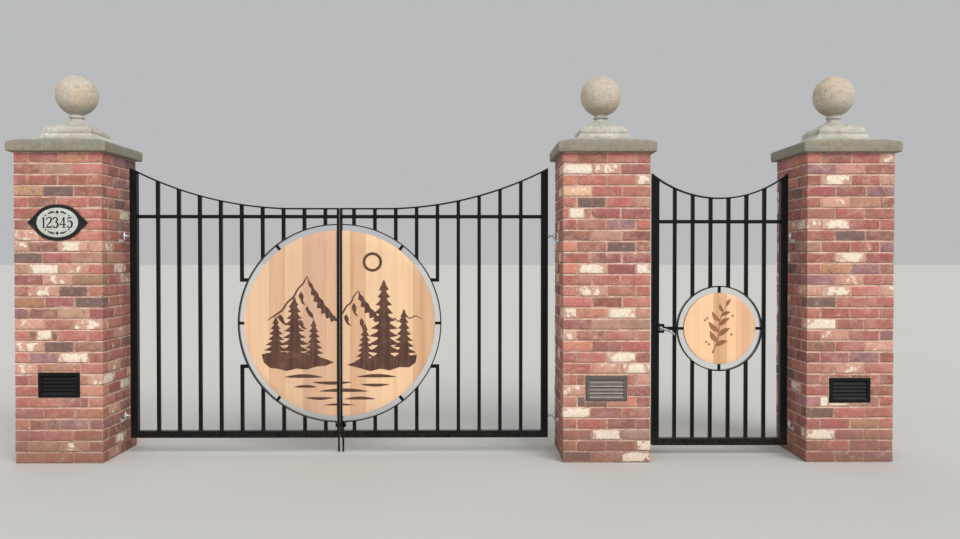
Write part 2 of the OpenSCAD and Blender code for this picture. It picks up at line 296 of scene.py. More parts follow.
def flat_plate(shapes, y_back, y_front, bevel):
    """A mesh, in metres, of flat outlines in the xz plane with thickness from y_back to y_front and eased edges.
    shapes is a list of closed outlines of (x, z); an outline inside another cuts a hole."""
    cu = bpy.data.curves.new("plate", "CURVE")
    cu.dimensions = "2D"
    cu.fill_mode = "BOTH"
    thick = abs(y_back - y_front)
    cu.extrude = max(thick / 2 - bevel, 0.0) * MM
    cu.bevel_depth = bevel * MM
    cu.bevel_resolution = 1
    cu.offset = -bevel * MM
    for outline in shapes:
        sp = cu.splines.new("POLY")
        sp.points.add(len(outline) - 1)
        for i, (x, z) in enumerate(outline):
            sp.points[i].co = (x * MM, z * MM, 0, 1)
        sp.use_cyclic_u = True
    o = bpy.data.objects.new("plate", cu)
    bpy.context.scene.collection.objects.link(o)
    bpy.context.view_layer.update()
    me = bpy.data.meshes.new_from_object(o.evaluated_get(bpy.context.evaluated_depsgraph_get()))
    bpy.data.objects.remove(o)
    bpy.data.curves.remove(cu)
    me.transform(Matrix.Rotation(math.pi / 2, 4, "X"))
    me.transform(Matrix.Translation((0, (y_back + y_front) / 2 * MM, 0)))
    return me


def into(pile, me, **attrs):
    """Adds a mesh in metres to a pile."""
    v = np.array([p.co for p in me.vertices], float).reshape(-1, 3) / MM
    f = [tuple(p.vertices) for p in me.polygons]
    bpy.data.meshes.remove(me)
    return pile.add(v, f, **attrs)


# ---------------------------------------------------------------- material helpers
def srgb(r, g, b):
    def lin(c):
        c /= 255.0
        return c / 12.92 if c <= 0.04045 else ((c + 0.055) / 1.055) ** 2.4

    return (lin(r), lin(g), lin(b), 1.0)


class Mat:
    """A Principled material and short names for the nodes that feed it."""

    def __init__(self, name, **sockets):
        self.m = bpy.data.materials.new(name)
        self.m.use_nodes = True
        self.t = self.m.node_tree
        self.bsdf = self.t.nodes["Principled BSDF"]
        for key, value in sockets.items():
            self.bsdf.inputs[key.replace("_", " ")].default_value = value
        self._co = None

    def node(self, kind, **settings):
        n = self.t.nodes.new(kind)
        for key, value in settings.items():
            setattr(n, key, value)
        return n

    def put(self, socket, value):
        if hasattr(value, "is_output"):
            self.t.links.new(value, socket)
        else:
            socket.default_value = value

    def coord(self):
        if self._co is None:
            self._co = self.node("ShaderNodeTexCoord").outputs["Object"]
        return self._co

    def attr(self, name, kind="Fac"):
        n = self.node("ShaderNodeAttribute", attribute_name=name)
        return n.outputs[kind]

    def vec(self, op, a, b=None, scale=None):
        n = self.node("ShaderNodeVectorMath", operation=op)
        self.put(n.inputs[0], a)
        if b is not None:
            self.put(n.inputs[1], b)
        if scale is not None:
            self.put(n.inputs["Scale"], scale)
        return n.outputs["Vector"]

    def scaled(self, co, x, y, z):
        return self.vec("MULTIPLY", co, (x, y, z))

    def math(self, op, a, b=0.0, c=None, clamp=False):
        n = self.node("ShaderNodeMath", operation=op, use_clamp=clamp)
        self.put(n.inputs[0], a)
        self.put(n.inputs[1], b)
        if c is not None:
            self.put(n.inputs[2], c)
        return n.outputs[0]

    def noise(self, co, scale, detail=3.0, rough=0.55, distort=0.0):
        n = self.node("ShaderNodeTexNoise")
        self.put(n.inputs["Vector"], co)
        n.inputs["Scale"].default_value = scale
        n.inputs["Detail"].default_value = detail
        n.inputs["Roughness"].default_value = rough
        n.inputs["Distortion"].default_value = distort
        return n.outputs["Fac"]

    def cells(self, co, scale, feature="F1", out="Distance", randomness=1.0):
        n = self.node("ShaderNodeTexVoronoi", feature=feature)
        self.put(n.inputs["Vector"], co)
        n.inputs["Scale"].default_value = scale
        n.inputs["Randomness"].default_value = randomness
        return n.outputs[out]

    def range(self, value, a, b, to_a=0.0, to_b=1.0, smooth=True):
        n = self.node("ShaderNodeMapRange")
        if smooth:
            n.interpolation_type = "SMOOTHSTEP"
        self.put(n.inputs["Value"], value)
        self.put(n.inputs["From Min"], a)
        self.put(n.inputs["From Max"], b)
        self.put(n.inputs["To Min"], to_a)
        self.put(n.inputs["To Max"], to_b)
        return n.outputs["Result"]

    def mix(self, fac, a, b, blend="MIX"):
        n = self.node("ShaderNodeMix", data_type="RGBA", blend_type=blend)
        n.clamp_factor = True
        self.put(n.inputs[0], fac)
        self.put(n.inputs[6], a)
        self.put(n.inputs[7], b)
        return n.outputs[2]

    def gain(self, colour, factor):
        """A colour times a number."""
        if isinstance(colour, tuple):
            return (colour[0] * factor, colour[1] * factor, colour[2] * factor, 1.0)
        return self.vec("SCALE", colour, scale=factor)

    def separate(self, co):
        n = self.node("ShaderNodeSeparateXYZ")
        self.put(n.inputs[0], co)
        return n.outputs

    def up(self):
        """How far a surface faces up, from -1 to 1."""
        g = self.node("ShaderNodeNewGeometry")
        return self.separate(g.outputs["Normal"])[2]

    def bump(self, *layers):
        """layers are (height, strength, distance in metres)."""
        last = None
        for height, strength, distance in layers:
            n = self.node("ShaderNodeBump")
            n.inputs["Strength"].default_value = strength
            n.inputs["Distance"].default_value = distance
            self.put(n.inputs["Height"], height)
            if last is not None:
                self.t.links.new(last, n.inputs["Normal"])
            last = n.outputs["Normal"]
        self.t.links.new(last, self.bsdf.inputs["Normal"])

    def colour(self, value):
        self.put(self.bsdf.inputs["Base Color"], value)

    def roughness(self, value):
        self.put(self.bsdf.inputs["Roughness"], value)


# ---------------------------------------------------------------- materials
def brick_material():
    """Reclaimed bricks. tone, shift, lime, soot, edge, rim (its ends) and under (its foot) come with each brick."""
    m = Mat("fired_brick", Specular_IOR_Level=0.2)
    p = m.vec("ADD", m.coord(), m.attr("shift", "Vector"))
    tone = m.attr("tone", "Color")
    lime, soot, edge = m.attr("lime"), m.attr("soot"), m.attr("edge")
    big = m.noise(p, 17, 3, 0.6)
    mid = m.noise(p, 62, 4, 0.62)
    small = m.noise(p, 125, 4, 0.66)
    fine = m.noise(p, 340, 3, 0.65)
    col = m.gain(tone, m.range(big, 0.28, 0.72, 0.90, 1.11, smooth=False))
    # patches that fired more orange, or greyer and more purple
    hue = m.noise(m.vec("ADD", p, (3.1, 0.7, 1.9)), 23, 3, 0.55)
    col = m.mix(m.range(hue, 0.54, 0.74, 0.0, 0.34), col, srgb(192, 126, 96))
    col = m.mix(m.range(hue, 0.46, 0.26, 0.0, 0.45), col, srgb(160, 118, 116))
    # a pale bloom of salts over the whole wall, and dusty faces
    bloom = m.noise(m.scaled(m.coord(), 1.0, 1.0, 1.4), 9, 5, 0.62)
    col = m.mix(m.range(bloom, 0.44, 0.70, 0.0, 0.42), col, srgb(208, 168, 156))
    col = m.mix(m.range(mid, 0.54, 0.72, 0.0, 0.45), col, m.gain(tone, 0.66))
    col = m.mix(m.range(mid, 0.44, 0.28, 0.0, 0.40), col, srgb(204, 164, 146))
    grit = m.cells(p, 430)
    col = m.mix(m.range(fine, 0.58, 0.70, 0.0, 0.55), col, m.gain(tone, 0.55))
    col = m.mix(m.range(grit, 0.17, 0.05, 0.0, 0.40), col, srgb(216, 190, 168))
    # scorched faces
    burn = m.math("ADD", m.noise(m.vec("ADD", p, (9.3, 2.2, 4.4)), 21, 5, 0.62), m.math("MULTIPLY", soot, 0.42))
    col = m.mix(m.range(burn, 0.60, 0.86, 0.0, 0.78), col, m.mix(mid, srgb(112, 92, 84), srgb(128, 104, 104)))
    # old lime and paint left on reclaimed bricks, broken away round the arrises
    flake = m.math("ADD", m.noise(m.vec("ADD", p, (5.0, 8.0, 1.0)), 20, 4, 0.54), m.math("MULTIPLY", lime, 0.50))
    flake = m.math("SUBTRACT", flake, m.math("MULTIPLY", edge, m.range(mid, 0.35, 0.65, 0.0, 0.30)))
    flake = m.math("SUBTRACT", flake, m.math("MULTIPLY", m.attr("rim"), m.range(big, 0.38, 0.58, 0.0, 0.42)))
    haze = m.range(flake, 0.56, 0.84, 0.0, 0.55)
    coat = m.range(flake, 0.78, 0.84, 0.0, 0.95)
    col = m.mix(haze, col, srgb(218, 180, 160))
    col = m.gain(col, m.range(small, 0.30, 0.70, 0.76, 1.22, smooth=False))
    col = m.mix(coat, col, m.mix(m.range(mid, 0.35, 0.65), srgb(230, 212, 190), srgb(250, 238, 218)))
    # mortar smeared over the arrises
    smear = m.math("MULTIPLY", m.range(m.noise(m.coord(), 52, 5, 0.65), 0.44, 0.64), edge)
    col = m.mix(m.math("MULTIPLY", smear, 0.62), col, m.mix(fine, srgb(204, 162, 144), srgb(230, 192, 174)))
    # painted shade along the foot of each brick, under its arris
    shade = m.math("MULTIPLY", m.attr("under"), m.range(m.noise(m.coord(), 30, 4, 0.6), 0.30, 0.62, 0.30, 0.85))
    col = m.mix(shade, col, srgb(116, 78, 66))
    # soot and splashes near the ground
    low = m.math("MULTIPLY", m.range(m.separate(m.coord())[2], 0.46, 0.0, 0.0, 0.62), m.range(bloom, 0.30, 0.56, 0.3, 1.0))
    low = m.math("MULTIPLY", low, m.range(coat, 0.0, 1.0, 1.0, 0.35))
    col = m.mix(low, col, srgb(118, 92, 76))
    m.colour(col)
    m.roughness(m.range(fine, 0.3, 0.7, 0.82, 0.96, smooth=False))
    height = m.math("ADD", m.math("MULTIPLY", mid, 0.8), m.math("MULTIPLY", coat, 0.35))
    m.bump((height, 0.7, 0.0030), (fine, 0.55, 0.0010), (m.range(grit, 0.0, 0.2), 0.25, 0.0005))
    return m.m


def mortar_material():
    """Bed joints are pale and clean, and shaded under the brick above; the cross joints are browner."""
    m = Mat("lime_mortar", Specular_IOR_Level=0.18)
    co = m.coord()
    z = m.separate(co)[2]
    step = m.math("MODULO", m.math("SUBTRACT", z, 0.006), COURSE * MM)
    bed = m.range(step, 0.0640, 0.0665)
    joint_top_shade = m.range(step, 0.0716, 0.0746)
    broad = m.noise(co, 6, 4, 0.6)
    mid = m.noise(co, 64, 4, 0.6)
    sand = m.noise(co, 720, 2, 0.7)
    col = m.mix(m.range(broad, 0.3, 0.7), srgb(222, 184, 166), srgb(240, 208, 190))
    dull = m.range(m.noise(m.vec("ADD", co, (2, 7, 4)), 13, 4, 0.6), 0.44, 0.60, 0.0, 0.70)
    col = m.mix(dull, col, srgb(190, 148, 130))
    cross = m.mix(m.range(broad, 0.35, 0.65), srgb(184, 144, 124), srgb(208, 168, 146))
    spot = m.range(m.noise(m.vec("ADD", co, (6, 2, 5)), 34, 4, 0.62), 0.48, 0.64, 0.0, 0.80)
    cross = m.mix(spot, cross, srgb(138, 112, 86))
    col = m.mix(bed, cross, col)
    col = m.mix(m.range(mid, 0.52, 0.72, 0.0, 0.50), col, srgb(172, 134, 114))
    col = m.mix(m.range(mid, 0.42, 0.28, 0.0, 0.55), col, srgb(242, 214, 196))
    col = m.mix(m.range(sand, 0.60, 0.70, 0.0, 0.4), col, srgb(140, 108, 92))
    col = m.mix(m.range(sand, 0.40, 0.30, 0.0, 0.5), col, srgb(236, 210, 192))
    # painted shade at the top of each bed joint, under the brick above
    col = m.mix(m.math("MULTIPLY", joint_top_shade, m.range(mid, 0.3, 0.6, 0.45, 0.8)), col, srgb(132, 96, 82))
    green = m.range(m.noise(m.vec("ADD", co, (3, 3, 1)), 15, 4, 0.6), 0.56, 0.72, 0.0, 0.45)
    col = m.mix(green, col, srgb(140, 126, 98))
    low = m.range(z, 0.36, 0.0, 0.0, 0.65)
    col = m.mix(m.math("MULTIPLY", low, m.range(mid, 0.3, 0.6, 0.4, 1.0)), col, srgb(110, 88, 72))
    m.colour(col)
    m.roughness(m.range(sand, 0.3, 0.7, 0.86, 0.98, smooth=False))
    m.bump((mid, 0.9, 0.0028), (sand, 0.7, 0.0009))
    return m.m


def stone_material():
    """Cast stone: a warmer mix in the ball, greyer in the neck, and a greener slab, darker as painted shade."""
    m = Mat("cast_stone", Specular_IOR_Level=0.22)
    co = m.coord()
    z = m.separate(co)[2]
    broad = m.noise(co, 5.5, 4, 0.6)
    mid = m.noise(co, 27, 5, 0.64)
    small = m.noise(co, 105, 4, 0.68)
    fine = m.noise(co, 260, 3, 0.65)
    col = m.mix(m.range(broad, 0.32, 0.68), srgb(188, 183, 172), srgb(208, 204, 194))
    col = m.mix(m.range(z, 2.41, 2.45), col, m.mix(m.range(broad, 0.38, 0.64), srgb(206, 188, 167), srgb(198, 191, 178)))
    # painted shade: the slab gets a darker colour than the ball and neck
    slab = m.range(z, 2.250, 2.205)
    col = m.mix(slab, col, m.mix(m.range(broad, 0.42, 0.62), srgb(145, 142, 128), srgb(158, 144, 128)))
    col = m.mix(m.range(mid, 0.46, 0.70, 0.0, 0.50), col, m.gain(col, 0.70))
    col = m.mix(m.range(mid, 0.46, 0.28, 0.0, 0.50), col, m.gain(col, 1.20))
    col = m.gain(col, m.range(small, 0.30, 0.70, 0.78, 1.20, smooth=False))
    col = m.gain(col, m.range(fine, 0.30, 0.70, 0.84, 1.15, smooth=False))
    # layers left by the mould, faint and level
    layer = m.noise(m.scaled(co, 0.28, 0.28, 1.0), 62, 3, 0.6)
    side = m.math("SUBTRACT", 1.0, m.math("ABSOLUTE", m.up()))
    col = m.mix(m.math("MULTIPLY", m.range(layer, 0.52, 0.70, 0.0, 0.34), side), col, srgb(142, 134, 118))
    # grime in a few runs down the sides and on top faces, and painted shade under edges
    run = m.noise(m.scaled(co, 1.0, 1.0, 0.22), 24, 4, 0.6)
    col = m.mix(m.math("MULTIPLY", m.range(run, 0.58, 0.74, 0.0, 0.34), side), col, srgb(116, 110, 95))
    top = m.range(m.up(), 0.55, 1.0)
    col = m.mix(m.math("MULTIPLY", m.range(mid, 0.42, 0.60, 0.0, 0.32), top), col, srgb(132, 128, 112))
    # painted shade on faces that look down
    under = m.range(m.up(), -0.35, -0.85, 0.0, 0.40)
    col = m.mix(under, col, srgb(122, 114, 97))
    moss = m.math("MULTIPLY", m.range(m.noise(m.vec("ADD", co, (4, 4, 4)), 12, 5, 0.66), 0.58, 0.74), 0.4)
    col = m.mix(moss, col, srgb(138, 138, 114))
    m.colour(col)
    m.roughness(m.range(mid, 0.3, 0.7, 0.84, 0.97, smooth=False))
    m.bump((mid, 0.75, 0.0036), (small, 0.6, 0.0018), (fine, 0.6, 0.0010))
    return m.m


def iron_material(name="black_painted_iron", gloss=(0.30, 0.46), level=0.16):
    m = Mat(name, Specular_IOR_Level=level)
    co = m.coord()
    broad = m.noise(co, 6, 3, 0.6)
    mid = m.noise(co, 48, 4, 0.6)
    peel = m.noise(co, 620, 2, 0.5)
    col = m.mix(m.range(broad, 0.35, 0.65), srgb(10, 10, 11), srgb(16, 16, 17))
    col = m.mix(m.range(mid, 0.60, 0.76, 0.0, 0.40), col, srgb(32, 30, 28))
    # dust thrown up from the ground, and a film of it on top faces
    z = m.separate(co)[2]
    low = m.math("MULTIPLY", m.range(z, 0.26, 0.03, 0.0, 0.34), m.range(mid, 0.42, 0.66))
    col = m.mix(low, col, srgb(78, 71, 62))
    film = m.math("MULTIPLY", m.range(m.up(), 0.75, 1.0), m.range(mid, 0.35, 0.6, 0.08, 0.30))
    col = m.mix(film, col, srgb(84, 79, 72))
    m.colour(col)
    m.roughness(m.math("ADD", m.range(mid, 0.3, 0.7, gloss[0], gloss[1], smooth=False), m.math("MULTIPLY", low, 0.3)))
    m.bump((mid, 0.16, 0.0006), (peel, 0.10, 0.0003))
    return m.m


def weld_material():
    m = Mat("painted_weld", Specular_IOR_Level=0.35)
    co = m.coord()
    mid = m.noise(co, 160, 3, 0.6)
    m.colour(m.mix(mid, srgb(14, 14, 15), srgb(30, 28, 27)))
    m.roughness(m.range(mid, 0.3, 0.7, 0.32, 0.5, smooth=False))
    m.bump((mid, 0.4, 0.0008))
    return m.m


def zinc_material(name, dark, light):
    m = Mat(name, Metallic=0.9)
    co = m.coord()
    spangle = m.cells(co, 190, out="Color")
    mid = m.noise(co, 70, 4, 0.6)
    fine = m.noise(co, 900, 2, 0.5)
    grey = m.separate(spangle)[0]
    col = m.mix(grey, dark, light)
    col = m.mix(m.range(mid, 0.58, 0.78, 0.0, 0.5), col, m.gain(dark, 0.58))
    rust = m.range(m.noise(m.vec("ADD", co, (2, 5, 3)), 55, 5, 0.65), 0.66, 0.76, 0.0, 0.55)
    col = m.mix(rust, col, srgb(126, 92, 66))
    m.colour(col)
    m.roughness(
        m.math("ADD", m.range(grey, 0.0, 1.0, 0.30, 0.44, smooth=False), m.math("MULTIPLY", rust, 0.35))
    )
    m.bump((mid, 0.2, 0.0006), (fine, 0.12, 0.0002))
    return m.m


def wood_material():
    """Edge-glued boards with upright grain. tone, streak and shift come with each board."""
    m = Mat("oiled_boards", Specular_IOR_Level=0.3)
    tone, streak = m.attr("tone", "Color"), m.attr("streak", "Color")
    p = m.vec("ADD", m.coord(), m.attr("shift", "Vector"))
    wander = m.noise(m.scaled(p, 2.0, 2.0, 0.9), 1.6, 2, 0.5)
    bent = m.vec("ADD", p, m.vec("SCALE", (0.05, 0.0, 0.0), scale=m.math("SUBTRACT", wander, 0.5)))
    band = m.noise(m.scaled(bent, 1.0, 1.0, 0.030), 9, 2, 0.45)
    grain = m.noise(m.scaled(bent, 1.0, 1.0, 0.026), 58, 4, 0.6)
    line = m.noise(m.scaled(bent, 1.0, 1.0, 0.018), 210, 3, 0.6)
    pore = m.noise(m.scaled(bent, 1.0, 1.0, 0.045), 900, 2, 0.6)
    col = m.mix(m.range(band, 0.34, 0.66), m.gain(tone, 0.95), m.gain(tone, 1.05))
    col = m.mix(m.range(band, 0.56, 0.76, 0.0, 0.70), col, streak)
    col = m.mix(m.range(grain, 0.50, 0.70, 0.0, 0.26), col, m.gain(streak, 0.88))
    col = m.mix(m.range(line, 0.56, 0.72, 0.0, 0.20), col, srgb(196, 146, 104))
    col = m.mix(m.range(pore, 0.64, 0.74, 0.0, 0.24), col, srgb(150, 106, 74))
    weather = m.range(m.noise(m.vec("ADD", m.coord(), (7, 1, 3)), 3.2, 4, 0.6), 0.50, 0.72, 0.0, 0.20)
    col = m.mix(weather, col, srgb(214, 186, 158))
    m.colour(col)
    m.roughness(m.range(grain, 0.3, 0.7, 0.46, 0.64, smooth=False))
    m.bump((grain, 0.25, 0.0008), (line, 0.30, 0.0004), (pore, 0.20, 0.0002))
    return m.m


def stain_material(name, tones):
    """tones: dark, light, worn, deep and pore colours."""
    dark, light, worn, deep, open_pore = tones
    m = Mat(name, Specular_IOR_Level=0.28)
    p = m.coord()
    grain = m.noise(m.scaled(p, 1.0, 1.0, 0.03), 70, 4, 0.6)
    pore = m.noise(m.scaled(p, 1.0, 1.0, 0.05), 620, 2, 0.6)
    cloud = m.noise(p, 12, 4, 0.6)
    col = m.mix(m.range(grain, 0.35, 0.68), dark, light)
    col = m.mix(m.range(cloud, 0.50, 0.72, 0.0, 0.50), col, worn)
    col = m.mix(m.range(cloud, 0.46, 0.28, 0.0, 0.45), col, deep)
    col = m.mix(m.range(pore, 0.60, 0.72, 0.0, 0.5), col, open_pore)
    m.colour(col)
    m.roughness(m.range(grain, 0.3, 0.7, 0.46, 0.64, smooth=False))
    m.bump((grain, 0.3, 0.0006), (pore, 0.25, 0.0003))
    return m.m


def enamel(name, dark, light, rough=(0.26, 0.4), spec=0.5):
    m = Mat(name, Specular_IOR_Level=spec)
    co = m.coord()
    cloud = m.noise(co, 30, 4, 0.6)
    speck = m.noise(co, 520, 2, 0.6)
    col = m.mix(m.range(cloud, 0.35, 0.68), dark, light)
    col = m.mix(m.range(speck, 0.66, 0.74, 0.0, 0.35), col, m.gain(dark, 0.6))
    m.colour(col)
    m.roughness(m.range(cloud, 0.3, 0.7, rough[0], rough[1], smooth=False))
    m.bump((cloud, 0.10, 0.0006), (speck, 0.12, 0.0003))
    return m.m


def powder_material(name, dark, light, dusty, lip_highlight, grime, level):
    """A powder coat. From 0 to 1 on the mesh, one attribute marks the lips, painted paler as a highlight where they
    catch the light, and soil marks what grime has darkened.
    """
    m = Mat(name, Specular_IOR_Level=level)
    co = m.coord()
    cloud = m.noise(co, 26, 4, 0.6)
    fine = m.noise(co, 480, 2, 0.6)
    col = m.mix(m.range(cloud, 0.35, 0.68), dark, light)
    top = m.math("MULTIPLY", m.range(m.up(), 0.35, 0.95), m.range(cloud, 0.3, 0.6, 0.15, 0.55))
    col = m.mix(top, col, dusty)
    # painted highlight on the louvre lips, where they catch the light
    col = m.mix(m.math("MULTIPLY", m.attr("worn"), m.range(cloud, 0.25, 0.55, 0.6, 1.0)), col, lip_highlight)
    col = m.mix(m.math("MULTIPLY", m.attr("soil"), m.range(cloud, 0.25, 0.65, 0.55, 0.85)), col, grime)
    m.colour(col)
    m.roughness(m.range(cloud, 0.3, 0.7, 0.42, 0.62, smooth=False))
    m.bump((cloud, 0.12, 0.0006), (fine, 0.35, 0.0003))
    return m.m


BRICK, MORTAR, STONE = brick_material(), mortar_material(), stone_material()
IRON, WELD = iron_material(), weld_material()
ZINC = zinc_material("galvanised_steel", srgb(206, 209, 212), srgb(240, 242, 244))
LEVER_ZINC = zinc_material("handled_zinc", srgb(138, 142, 145), srgb(166, 170, 173))
RING_IRON = iron_material("black_gloss_iron", (0.14, 0.26), 0.4)
WOOD = wood_material()
STAIN = stain_material(
    "dark_stained_wood", (srgb(78, 51, 41), srgb(106, 74, 60), srgb(122, 88, 70), srgb(64, 42, 34), srgb(46, 31, 25))
)
LIGHT_STAIN = stain_material(
    "light_stained_wood", (srgb(142, 96, 60), srgb(166, 116, 76), srgb(182, 132, 90), srgb(122, 80, 48), srgb(96, 62, 38))
)
BLACK_ENAMEL = enamel("black_enamel", srgb(10, 10, 9), srgb(22, 21, 19), (0.3, 0.44), 0.35)
WHITE_ENAMEL = enamel("white_enamel", srgb(186, 190, 181), srgb(204, 208, 199), (0.4, 0.56), 0.3)
# the fourth colour of each powder coat is the painted highlight on the louvre lips
LIGHT_BLACK = powder_material(
    "black_powder_coat", srgb(8, 8, 8), srgb(13, 13, 13), srgb(28, 27, 26), srgb(44, 43, 43), srgb(9, 9, 8), 0.2
)
LIGHT_GREY = powder_material(
    "grey_powder_coat", srgb(104, 95, 91), srgb(122, 113, 108), srgb(146, 138, 133), srgb(180, 173, 169), srgb(74, 67, 59), 0.3
)
LENS_DARK = enamel("smoked_lens", srgb(12, 12, 12), srgb(22, 22, 22), (0.4, 0.6), 0.3)
LENS_PALE = enamel("frosted_lens", srgb(112, 104, 100), srgb(130, 122, 118), (0.4, 0.6), 0.3)

# ---------------------------------------------------------------- brickwork
BRICK_TONES = [
    (0.36, (178, 111, 100)),
    (0.20, (171, 106, 97)),
    (0.13, (190, 124, 108)),
    (0.11, (160, 100, 92)),
    (0.07, (188, 142, 126)),
    (0.05, (153, 111, 112)),
    (0.05, (182, 130, 104)),
    (0.03, (144, 105, 91)),
]
# kinds of brick that stand out: colour, lime, soot, how far the coat has gone from the ends
KINDS = {
    "chalk": ((214, 172, 150), 1.12, 0.0, 0.5),
    "white": ((212, 168, 147), 0.98, 0.0, 0.74),
    "cream": ((206, 160, 140), 0.90, 0.0, 1.0),
    "peach": ((206, 150, 132), 0.56, 0.0, 1.0),
    "sand": ((234, 190, 152), 0.54, 0.0, 1.0),
    "dark": ((122, 98, 90), 0.08, 0.72, 1.0),
    "purple": ((160, 118, 122), 0.12, 0.34, 1.0),
    "brown": ((160, 108, 90), 0.10, 0.44, 1.0),
}
# bricks that stand out on the fronts: course from the top, span as shares of the width, kind
MARKED = {
    "centre": [
        (2, 0.03, 0.32, "chalk"), (2, 0.35, 0.70, "peach"), (3, 0.86, 1.0, "chalk"), (4, 0.0, 0.30, "sand"), (5, 0.17, 0.50, "dark"),
        (6, 0.06, 0.25, "white"), (7, 0.50, 0.82, "purple"), (8, 0.0, 0.28, "brown"), (9, 0.52, 0.82, "dark"),
        (11, 0.16, 0.48, "cream"), (11, 0.86, 1.0, "chalk"), (13, 0.17, 0.50, "peach"), (13, 0.66, 0.84, "peach"),
        (15, 0.0, 0.10, "cream"), (15, 0.50, 0.83, "white"), (17, 0.0, 0.14, "cream"), (19, 0.52, 0.80, "white"),
        (20, 0.30, 0.66, "peach"), (20, 0.66, 1.0, "cream"), (21, 0.15, 0.27, "brown"), (22, 0.0, 0.27, "peach"),
        (23, 0.16, 0.49, "dark"), (24, 0.0, 0.32, "white"), (26, 0.33, 0.66, "chalk"), (27, 0.84, 1.0, "chalk"),
        (28, 0.05, 0.33, "dark"), (28, 0.66, 1.0, "cream"),
    ],
    "left": [
        (4, 0.33, 0.66, "dark"), (5, 0.17, 0.50, "brown"), (8, 0.0, 0.30, "peach"), (9, 0.0, 0.15, "cream"), (9, 0.17, 0.48, "brown"),
        (9, 0.52, 0.82, "cream"), (9, 0.86, 1.0, "peach"), (10, 0.0, 0.31, "dark"), (11, 0.17, 0.48, "white"), (11, 0.52, 0.82, "peach"),
        (12, 0.34, 0.65, "peach"), (13, 0.17, 0.48, "peach"), (13, 0.52, 0.82, "dark"), (14, 0.67, 1.0, "dark"), (15, 0.17, 0.48, "brown"),
        (16, 0.0, 0.31, "peach"), (16, 0.67, 1.0, "peach"), (17, 0.17, 0.24, "brown"), (17, 0.26, 0.41, "white"), (17, 0.43, 0.49, "brown"),
        (18, 0.0, 0.31, "peach"), (18, 0.34, 0.65, "dark"), (18, 0.67, 1.0, "brown"), (19, 0.17, 0.48, "purple"), (19, 0.52, 0.82, "cream"),
        (20, 0.0, 0.20, "peach"), (21, 0.86, 1.0, "cream"), (22, 0.76, 0.84, "dark"), (25, 0.17, 0.48, "brown"), (25, 0.52, 0.82, "purple"),
        (27, 0.52, 0.82, "peach"),
    ],
    "right": [
        (7, 0.0, 0.15, "cream"), (8, 0.67, 1.0, "brown"), (10, 0.34, 0.65, "cream"), (14, 0.0, 0.31, "dark"), (16, 0.0, 0.31, "white"),
        (17, 0.17, 0.48, "peach"), (18, 0.0, 0.31, "brown"), (18, 0.67, 1.0, "peach"), (19, 0.52, 0.82, "purple"), (20, 0.34, 0.65, "peach"), (23, 0.17, 0.50, "white"),
        (24, 0.0, 0.31, "dark"), (26, 0.0, 0.31, "white"),
    ],
}


def marked_kind(name, k, lo, hi):
    """The kind that MARKED gives a front brick of a pier, if any."""
    a, b = (lo[0] + PIER_W / 2) / PIER_W, (hi[0] + PIER_W / 2) / PIER_W
    for n, c, d, kind in MARKED[name]:
        if n == 28 - k and min(b, d) - max(a, c) > 0.55 * (b - a):
            return kind
    return ""


def stops(length, n):
    """n + 1 places along an edge, close together near its ends."""
    e = min(1.0, length / 26.0)
    a, b = 2.5 * e, 8.0 * e
    inner = np.linspace(b, length - b, n - 3)
    return np.concatenate([[0, a], inner, [length - a, length]])


def courses():
    """Each brick's box on a pier centred at 0, 0: (course, low corner, high corner)."""
    h = PIER_W / 2
    out = []
    for k in range(28):
        z0 = k * COURSE + 6.0
        z1 = z0 + 66.0
        # the cross joints wander a little from course to course
        u, v, w = (7.0 * math.sin(k * 2.7 + 1.0), 7.0 * math.sin(k * 1.9), 6.0 * math.sin(k * 3.7 + 2.0))
        run3 = [(-h, -h + 193.0 + u), (-h + 203.5 + u, h - 203.5 + v), (h - 193.0 + v, h)]
        run2 = [(-h + 102.0, -h + 295.0 + w), (h - 295.0 + w, h - 102.0)]
        if k % 2 == 0:
            across, along = run3, run2
            for a, b in across:
                out.append((k, (a, -h, z0), (b, -h + 92, z1)))
                out.append((k, (a, h - 92, z0), (b, h, z1)))
            for a, b in along:
                out.append((k, (-h, a, z0), (-h + 92, b, z1)))
                out.append((k, (h - 92, a, z0), (h, b, z1)))
        else:
            for a, b in run3:
                out.append((k, (-h, a, z0), (-h + 92, b, z1)))
                out.append((k, (h - 92, a, z0), (h, b, z1)))
            for a, b in run2:
                out.append((k, (a, -h, z0), (b, -h + 92, z1)))
                out.append((k, (a, h - 92, z0), (b, h, z1)))
    return out


# front bricks that were cut in three, with a short pale piece: pier, course from the foot, place of the low end, cuts
CLOSERS = [
    ("centre", 22, -300.0, (34.0, 44.0, 140.0, 150.0)),
    ("left", 11, -198.0, (42.0, 52.0, 146.0, 156.0)),
]


def split_closer(name, k, lo, hi):
    for pier, course, start, (a, b, c, d) in CLOSERS:
        if pier == name and course == k and lo[1] < -PIER_W / 2 + 1 and abs(lo[0] - start) < 6:
            x = lo[0]
            cuts = [(x, x + a), (x + b, x + c), (x + d, hi[0])]
            return [(k, (u, lo[1], lo[2]), (v, hi[1], hi[2])) for u, v in cuts]
    return [(k, lo, hi)]


